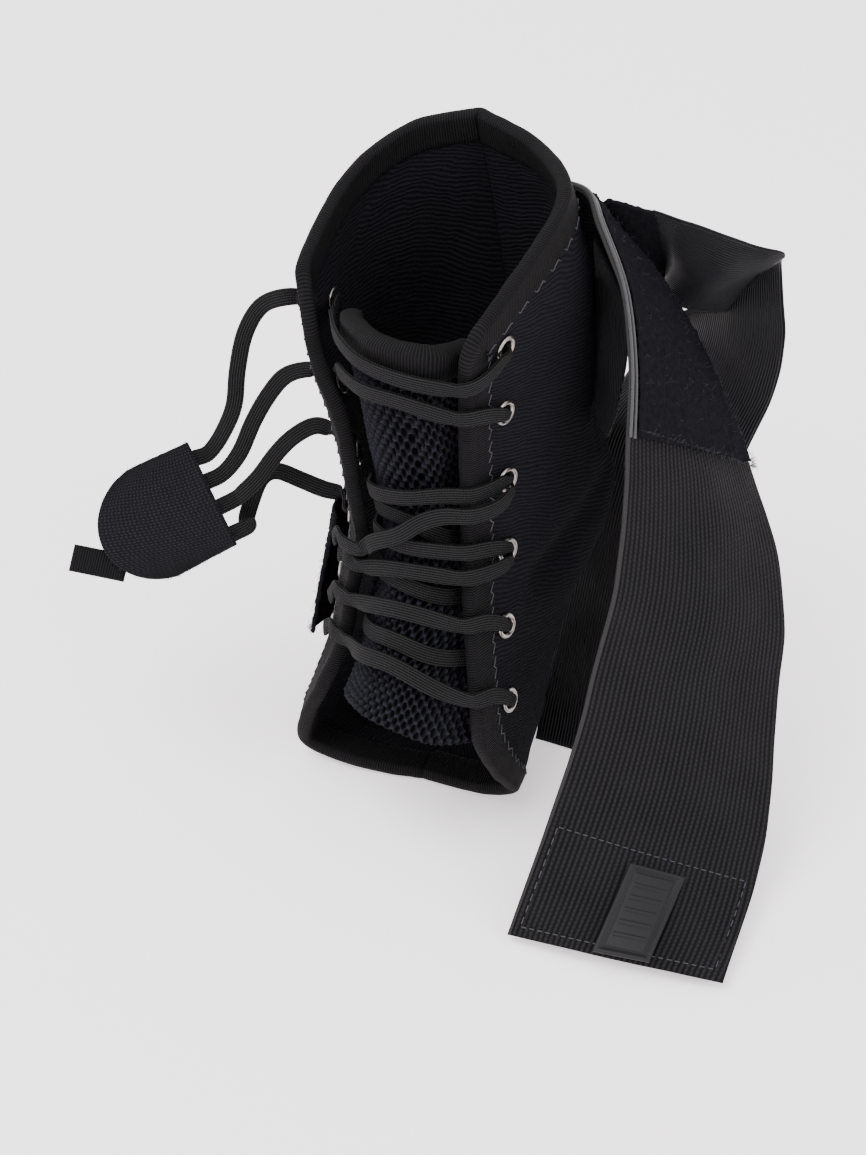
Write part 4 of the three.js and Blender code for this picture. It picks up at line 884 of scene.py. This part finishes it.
def fibres(name, cloth, spots, lift, longest, seed):
    """Stray fibres that stand off a cloth at (u, v) spots; lengths in mm."""
    drawn = np.random.default_rng(seed)
    spots = np.array(spots)
    roots = cloth.at(spots[:, 0], spots[:, 1], lift)
    out = cloth.normal(spots[:, 0], spots[:, 1])
    first = unit(out * 0.5 + drawn.normal(size=out.shape) * 0.8)
    second = unit(first + drawn.normal(size=out.shape) * 0.7)
    size = longest * drawn.uniform(0.3, 1, (len(spots), 1)) / 2
    runs = [(a, a + b, a + b + c) for a, b, c in zip(roots, first * size, second * size)]
    return threads(name, runs, fibre_radius, lint)


fibre_radius, pile_wall = 0.055, 1.4
draw = np.random.default_rng(4)
patch_front = places(((-0.375, -0.32, 0.45), (-0.42, -0.34, 0.335), (-0.455, -0.36, 0.215)))
patch_net = []
for front in patch_front:
    rear = on_cloth(tab_cloth, 0.42, front[2], True, 2 * clearance + pile_wall)[0]
    patch_net.append((front, (front + rear) / 2 + np.array((-2, -2, 0)), rear))
patch_cloth = Cloth(patch_net, 1)
patch = layer("landing_patch_pile", patch_cloth, (70, 110), pile_wall, pile, replaced=["landing_patch"],
              relief=fluffy(0.45, 13))
patch_spots = [(0.01, t) for t in draw.uniform(0, 1, 70)] + [(t, 0.99) for t in draw.uniform(0, 1, 40)]
patch_fibres = fibres("landing_patch_fibres", patch_cloth, patch_spots, 0.1, 2.0, 5)

# Pull tab fibres: the ends of the hook cloth's yarns, which stand out at the pad's cut edges and
# hold lint from the pile
tab_spots = [(side, t) for side in (0.01, 0.99) for t in draw.uniform(0, 1, 60)]
tab_spots += [(t, end) for end in (0.01, 0.99) for t in draw.uniform(0, 1, 90)]
fibres("pull_tab_fibres", Cloth(tab_rows, 1), tab_spots, -tab_wall / 2, 1.7, 8)

# Cuff strap: ribbed elastic, 70 mm wide, sewn on at the upper rear and hanging open to the front.
# Its narrow selvedge is paler than the ribs.
elastic = Finish("elastic_webbing", 0.8, Sheen_Weight=0.004, Specular_IOR_Level=0.06)
rib_pitch, dash_pitch, selvedge_width = 1.75, 1.5, 1.1
rib = wave(elastic.across, rib_pitch)
rib_number = (elastic.across / rib_pitch + 0.25).math("FLOOR")
dash = wave(elastic.along + rib_number * (dash_pitch * 0.5), dash_pitch)
fibre = speckle(elastic.map, 1.4, 4, 0.7)
shade = speckle(elastic.map, 0.05, 3)
selvedge = elastic.across.math("LESS_THAN", selvedge_width)
weave = rib * 0.45 + dash * rib * 0.3 + fibre * 0.25
elastic_colour = blend(weave + (shade - 0.5) * 0.3, (0.0012, 0.0011, 0.0014), (0.0185, 0.0175, 0.0192))
elastic.colour(selvedge * 0.75, elastic_colour, (0.03, 0.029, 0.03))
elastic.bump(rib * 0.7 + dash * 0.35 + fibre * 0.2, 0.4)

cuff_rows = (  # near edge, direction to the far edge
    ((0.19, 0.315, 0.985), (0.1, 0.06, -1)),
    ((0.29, 0.18, 1.0), (0.16, 0.3, -0.95)),
    ((0.38, 0.04, 0.99), (0.17, 0.62, -0.78)),
    ((0.485, -0.03, 0.905), (0.17, 0.67, -0.67)),
    ((0.56, -0.15, 0.815), (0.27, 0.71, -0.65)),
    ((0.6, -0.26, 0.72), (0.4, 0.69, -0.57)),
    ((0.62, -0.33, 0.615), (0.57, 0.63, -0.55)),
    ((0.64, -0.44, 0.505), (0.65, 0.57, -0.5)),
    ((0.63, -0.56, 0.405), (0.72, 0.51, -0.47)),
    ((0.61, -0.7, 0.275), (0.83, 0.37, -0.4)),
    ((0.575, -0.83, 0.16), (0.92, 0.27, -0.29)),
    ((0.535, -1.085, 0.018), (0.98, 0.07, 0.015)),
)
cuff_width, cuff_wall, cuff_bow = 70, 1.8, 3
cuff_root_u, root_heights, root_lift = 0.79, (0.97, 0.8, 0.62), 3 * clearance + cuff_wall
last_row = len(cuff_rows) - 1
near = [places(row[0]) for row in cuff_rows]
cuff_net = []
for k, (_, across) in enumerate(cuff_rows):
    across = unit(np.array(across, float))
    far = near[k] + across * cuff_width
    face = unit(np.cross(across, near[min(k + 1, last_row)] - near[max(k - 1, 0)]))
    cuff_net.append((near[k], (near[k] + far) / 2 - face * cuff_bow, far))
cuff_net[0] = tuple(on_cloth(strap_cloth, cuff_root_u, share * body_height, True, root_lift)[0]
                    for share in root_heights)
cuff = Cloth(cuff_net, -1)
strap = layer("cuff_strap_elastic", cuff, (56, 300), cuff_wall, elastic, replaced=["cuff_strap"],
              relief=creased(16, 0.7, 17), rim=0.3)

# Cuff patches: a long patch of loop pile on the strap's front, and one of hook cloth behind its free
# end. Both are sewn on, and the pile sheds stray fibres.
pile_end, pile_lift = 4.9 / last_row, 2 * clearance + 1.3
slant, slant_run = 0.02, 0.08


def slanted(u, v):
    """The pile's lower end is cut a little aslant."""
    return u, v + slant * (0.5 - u) * np.clip((v - (pile_end - slant_run)) / slant_run, 0, None)


cuff_pile = layer("cuff_pile", cuff, (90, 190), pile_wall, pile, span=(0.045, 0.975, 0.06, pile_end),
                  lift=pile_lift, relief=fluffy(0.55, 19), warp=slanted, replaced=["cuff_pile_patch"],
                  rim=0.45)
cuff_hook = layer("cuff_hooks", cuff, (60, 24), 1.1, hook_cloth, span=(0.05, 0.95, 0.918, 0.99),
                  lift=-cuff_wall - 2 * clearance, replaced=["cuff_hook_patch"])
pile_spots = [(draw.uniform(0.05, 0.97), draw.uniform(0.08, pile_end)) for _ in range(260)]
pile_spots += [(0.972, t) for t in draw.uniform(0.08, pile_end, 170)]
pile_spots += [(t, pile_end) for t in draw.uniform(0.05, 0.97, 150)]
pile_spots += [(draw.uniform(0.93, 0.974), draw.uniform(pile_end - 0.012, pile_end)) for _ in range(40)]
pile_fibres = fibres("cuff_pile_fibres", cuff, np.clip(pile_spots, 0, 1), pile_lift, 2.4, 6)

# Cuff seams: two grey cords of overlock down the strap's near edge beside the pile, and a frame of
# dark stitches that holds the hook patch
cord_grey = Finish("overlock_thread", 0.7, Sheen_Weight=0.2)
cord_grey.colour(speckle(cord_grey.place, 1600, 3), (0.01, 0.01, 0.012), (0.042, 0.042, 0.045))
cord_radius, stitch_radius, stitch_pitch, stitch_lift = 0.5, 0.2, 2.6, 0.12
down = np.linspace(0.02, pile_end + 0.012, 160)
cords = [cuff.at(np.full(160, u), down, lift) for u, lift in ((0.008, 0.25), (0.032, 0.45))]
overlock = threads("cuff_overlock", cords, cord_radius, cord_grey)
hem_near, hem_far, hem_top, hem_end = 0.05, 0.95, 0.912, 0.992
hem_lines = (  # start, end
    ((hem_near, hem_top), (hem_far, hem_top)),
    ((hem_near, hem_top), (hem_near, hem_end)),
    ((hem_far, hem_top), (hem_far, hem_end)),
    ((hem_near, hem_end), (hem_far, hem_end)),
)
counted_length = 300  # of the strap, where its stitches are counted
hem = []
for start, end in hem_lines:
    way = np.subtract(end, start)
    count = int(math.hypot(way[0] * cuff_width, way[1] * counted_length) / stitch_pitch)
    for k in range(count):
        t = np.array([(k + 0.15) / count, (k + 0.75) / count])
        hem.append(cuff.at(start[0] + way[0] * t, start[1] + way[1] * t, stitch_lift))
hem_stitches = threads("cuff_hem_stitches", hem, stitch_radius, thread)

# Badge: a bare moulded rubber plate on the strap's free end, with a raised rim, a few plain ribs and
# a groove that it is sewn down through
rubber = Finish("moulded_rubber", 0.5, Specular_IOR_Level=0.2)
grain = speckle(rubber.place, 1400, 4)
rubber.colour(grain, (0.0025, 0.0025, 0.0032), (0.008, 0.008, 0.0096))
rubber.feed("Roughness", grain * 0.25 + 0.42)
rubber.bump(grain, 0.08)
badge_u, badge_v = 0.54, 10.58 / last_row
badge_width, badge_height, badge_wall = 18, 32, 1.3
rim_width, rim_high, groove_in, groove_deep, ribs_in, rib_high, rib_step = 1.5, 0.5, 2.5, 0.35, 4, 0.3, 4.4
half_u = badge_width / cuff_width / 2
half_v = badge_height / cuff.lengths(badge_u, badge_v)[1] / 2


def badge_relief(u, v, points):
    x, y = np.abs(u - badge_u) / half_u * badge_width / 2, np.abs(v - badge_v) / half_v * badge_height / 2
    from_edge = np.minimum(badge_width / 2 - x, badge_height / 2 - y)
    groove = np.exp(-((from_edge - groove_in) / 0.3) ** 2)
    ribs = (np.cos(y * 2 * math.pi / rib_step) > 0.55) * (from_edge > ribs_in)
    return rim_high * within(from_edge - rim_width, 0.15) - groove_deep * groove + rib_high * ribs


layer("badge_plate", cuff, (72, 128), badge_wall, rubber, lift=3 * clearance + 1.0, relief=badge_relief,
      span=(badge_u - half_u, badge_u + half_u, badge_v - half_v, badge_v + half_v), replaced=["badge"],
      rim=0.3)

# Stabilising strap A: smooth nylon with lengthwise ribs, 48 mm wide, folded out behind the cuff
# strap and down to the sole
nylon = Finish("ribbed_nylon", 0.42, Specular_IOR_Level=0.14, Sheen_Weight=0.004)
nylon_rib_pitch, nylon_pick_pitch = 1.05, 0.45
nylon_rib = wave(nylon.across + speckle(nylon.map, 0.04, 2) * 1.2, nylon_rib_pitch)
nylon_cross = wave(nylon.along, nylon_pick_pitch)
nylon.colour(nylon_rib * 0.8 + nylon_cross * 0.2, (0.0005, 0.0005, 0.0008), (0.0105, 0.0105, 0.0138))
nylon.feed("Roughness", nylon_rib * -0.2 + 0.6)
nylon.bump(nylon_rib + nylon_cross * 0.15, 0.35)

stabiliser_rows = (  # outer edge, a place toward the inner edge, swell
    ((0.485, 0.24, 0.965), (0.47, 0.51, 0.77), 0),
    ((0.62, 0.28, 0.945), (0.45, 0.5, 0.72), 2),
    ((0.78, 0.34, 0.91), (0.5, 0.53, 0.69), 4),
    ((0.88, 0.38, 0.895), (0.64, 0.58, 0.7), -4),
    ((0.845, 0.5, 0.83), (0.56, 0.64, 0.7), 2),
    ((0.875, 0.5, 0.7), (0.5, 0.66, 0.62), 3),
    ((0.85, 0.52, 0.585), (0.4, 0.62, 0.54), 3),
    ((0.77, 0.5, 0.447), (0.31, 0.46, 0.48), 2),
    ((0.72, 0.41, 0.31), (0.25, 0.43, 0.35), 0),
    ((0.7, 0.26, 0.21), (0.25, 0.36, 0.23), 0),
    ((0.7, 0.08, 0.11), (0.26, 0.2, 0.12), 0),
    ((0.76, -0.15, 0.008), (0.28, -0.134, 0.01), 0),
)
stabiliser_width, stabiliser_wall = 48, 1.4
fold_ease, eased_rows = 9, (4, 5, 6)
strap_a_net = []
for row, (outer, inner, swell) in enumerate(stabiliser_rows):
    outer = places(outer)
    across = unit(places(inner) - outer)
    width = stabiliser_width + fold_ease * (row in eased_rows)
    strap_a_net.append((outer, outer + across * width / 2 - np.array((0, swell, 0)), outer + across * width))
strap_a_folds = creased(13, 1.1, 23)
strap_a = layer("stabiliser_strap_a_nylon", Cloth(strap_a_net, 1), (48, 330), stabiliser_wall, nylon,
                replaced=["stabiliser_strap_a"],
                relief=lambda u, v, p: strap_a_folds(u, v, p) * np.clip(v / 0.06, 0, 1))

# Hook end: the hook-cloth end of strap A, sewn on and stuck to the cuff's pile. It is so full of
# the pile's fluff that it has the same finish.
seat_lift = 4 * clearance + pile_wall + stabiliser_wall
hook_rows = (  # near edge, middle, far edge, row of the cuff
    (0.14, 0.36, 0.58, 0.88),
    (0.09, 0.36, 0.64, 1.3),
)
hook_net = [cuff.at(np.array(row[:3]), np.full(3, row[3] / last_row), seat_lift) for row in hook_rows]
hook_net.append(np.array(strap_a_net[0]) + np.array((1.5, 0.8, -1)))
hook_end = layer("stabiliser_hook_a_cloth", Cloth(hook_net, 1), (60, 60), stabiliser_wall, pile,
                 replaced=["stabiliser_hook_a"], relief=fluffy(0.4, 29))

# Stabilising strap B: the folded end of the other nylon strap, hanging between the shell and the
# cuff strap
end_rows = (  # left, right
    ((0.31, 0.22, 0.915), (0.47, 0.08, 0.845)),
    ((0.325, 0.22, 0.83), (0.49, 0.06, 0.79)),
    ((0.325, 0.18, 0.74), (0.49, 0.03, 0.725)),
    ((0.36, 0.13, 0.665), (0.48, 0, 0.665)),
    ((0.4, 0.055, 0.615), (0.455, 0, 0.615)),
)
end_net = []
for left, right in end_rows:
    left, right = places(left), places(right)
    end_net.append((left, (left + right) / 2, right))
strap_b = layer("stabiliser_strap_b_nylon", Cloth(end_net, 1), (36, 90), stabiliser_wall, nylon,
                replaced=["stabiliser_strap_b"], relief=creased(9, 0.5, 31))

# Floor and light: a plain pale floor under a bright even sky, with a broad soft light overhead and a
# weaker one on each side
pale = Finish("pale_floor", 0.9, Base_Color=(0.94, 0.885, 0.9, 1), Emission_Color=(1, 0.955, 0.97, 1),
              Emission_Strength=0.7)
form = bmesh.new()
bmesh.ops.create_grid(form, x_segments=1, y_segments=1, size=6)
floor = bpy.data.objects.new("floor", bpy.data.meshes.new("floor"))
form.to_mesh(floor.data)
form.free()
floor.data.materials.append(pale.material)
bpy.context.scene.collection.objects.link(floor)
world = bpy.data.worlds.new("studio")
world.use_nodes = True
sky = world.node_tree.nodes["Background"]
sky.inputs["Color"].default_value = (1, 0.99, 0.985, 1)
sky.inputs["Strength"].default_value = 1.75
bpy.context.scene.world = world
lamps = (  # name, place, size, power
    ("top_softbox", (-0.5, -0.7, 1.8), 1.2, 36),
    ("right_softbox", (1.6, -0.5, 1.0), 1.0, 14),
    ("left_softbox", (-1.6, 0.3, 0.9), 1.0, 8),
)
lit_place = Vector((0, 0, 0.1))
for name, place, size, power in lamps:
    lamp = bpy.data.objects.new(name, bpy.data.lights.new(name, "AREA"))
    lamp.data.size, lamp.data.energy = size, power
    facing = (Vector(place) - lit_place).to_track_quat("Z", "Y").to_matrix().to_4x4()
    lamp.matrix_world = Matrix.Translation(place) @ facing
    bpy.context.scene.collection.objects.link(lamp)
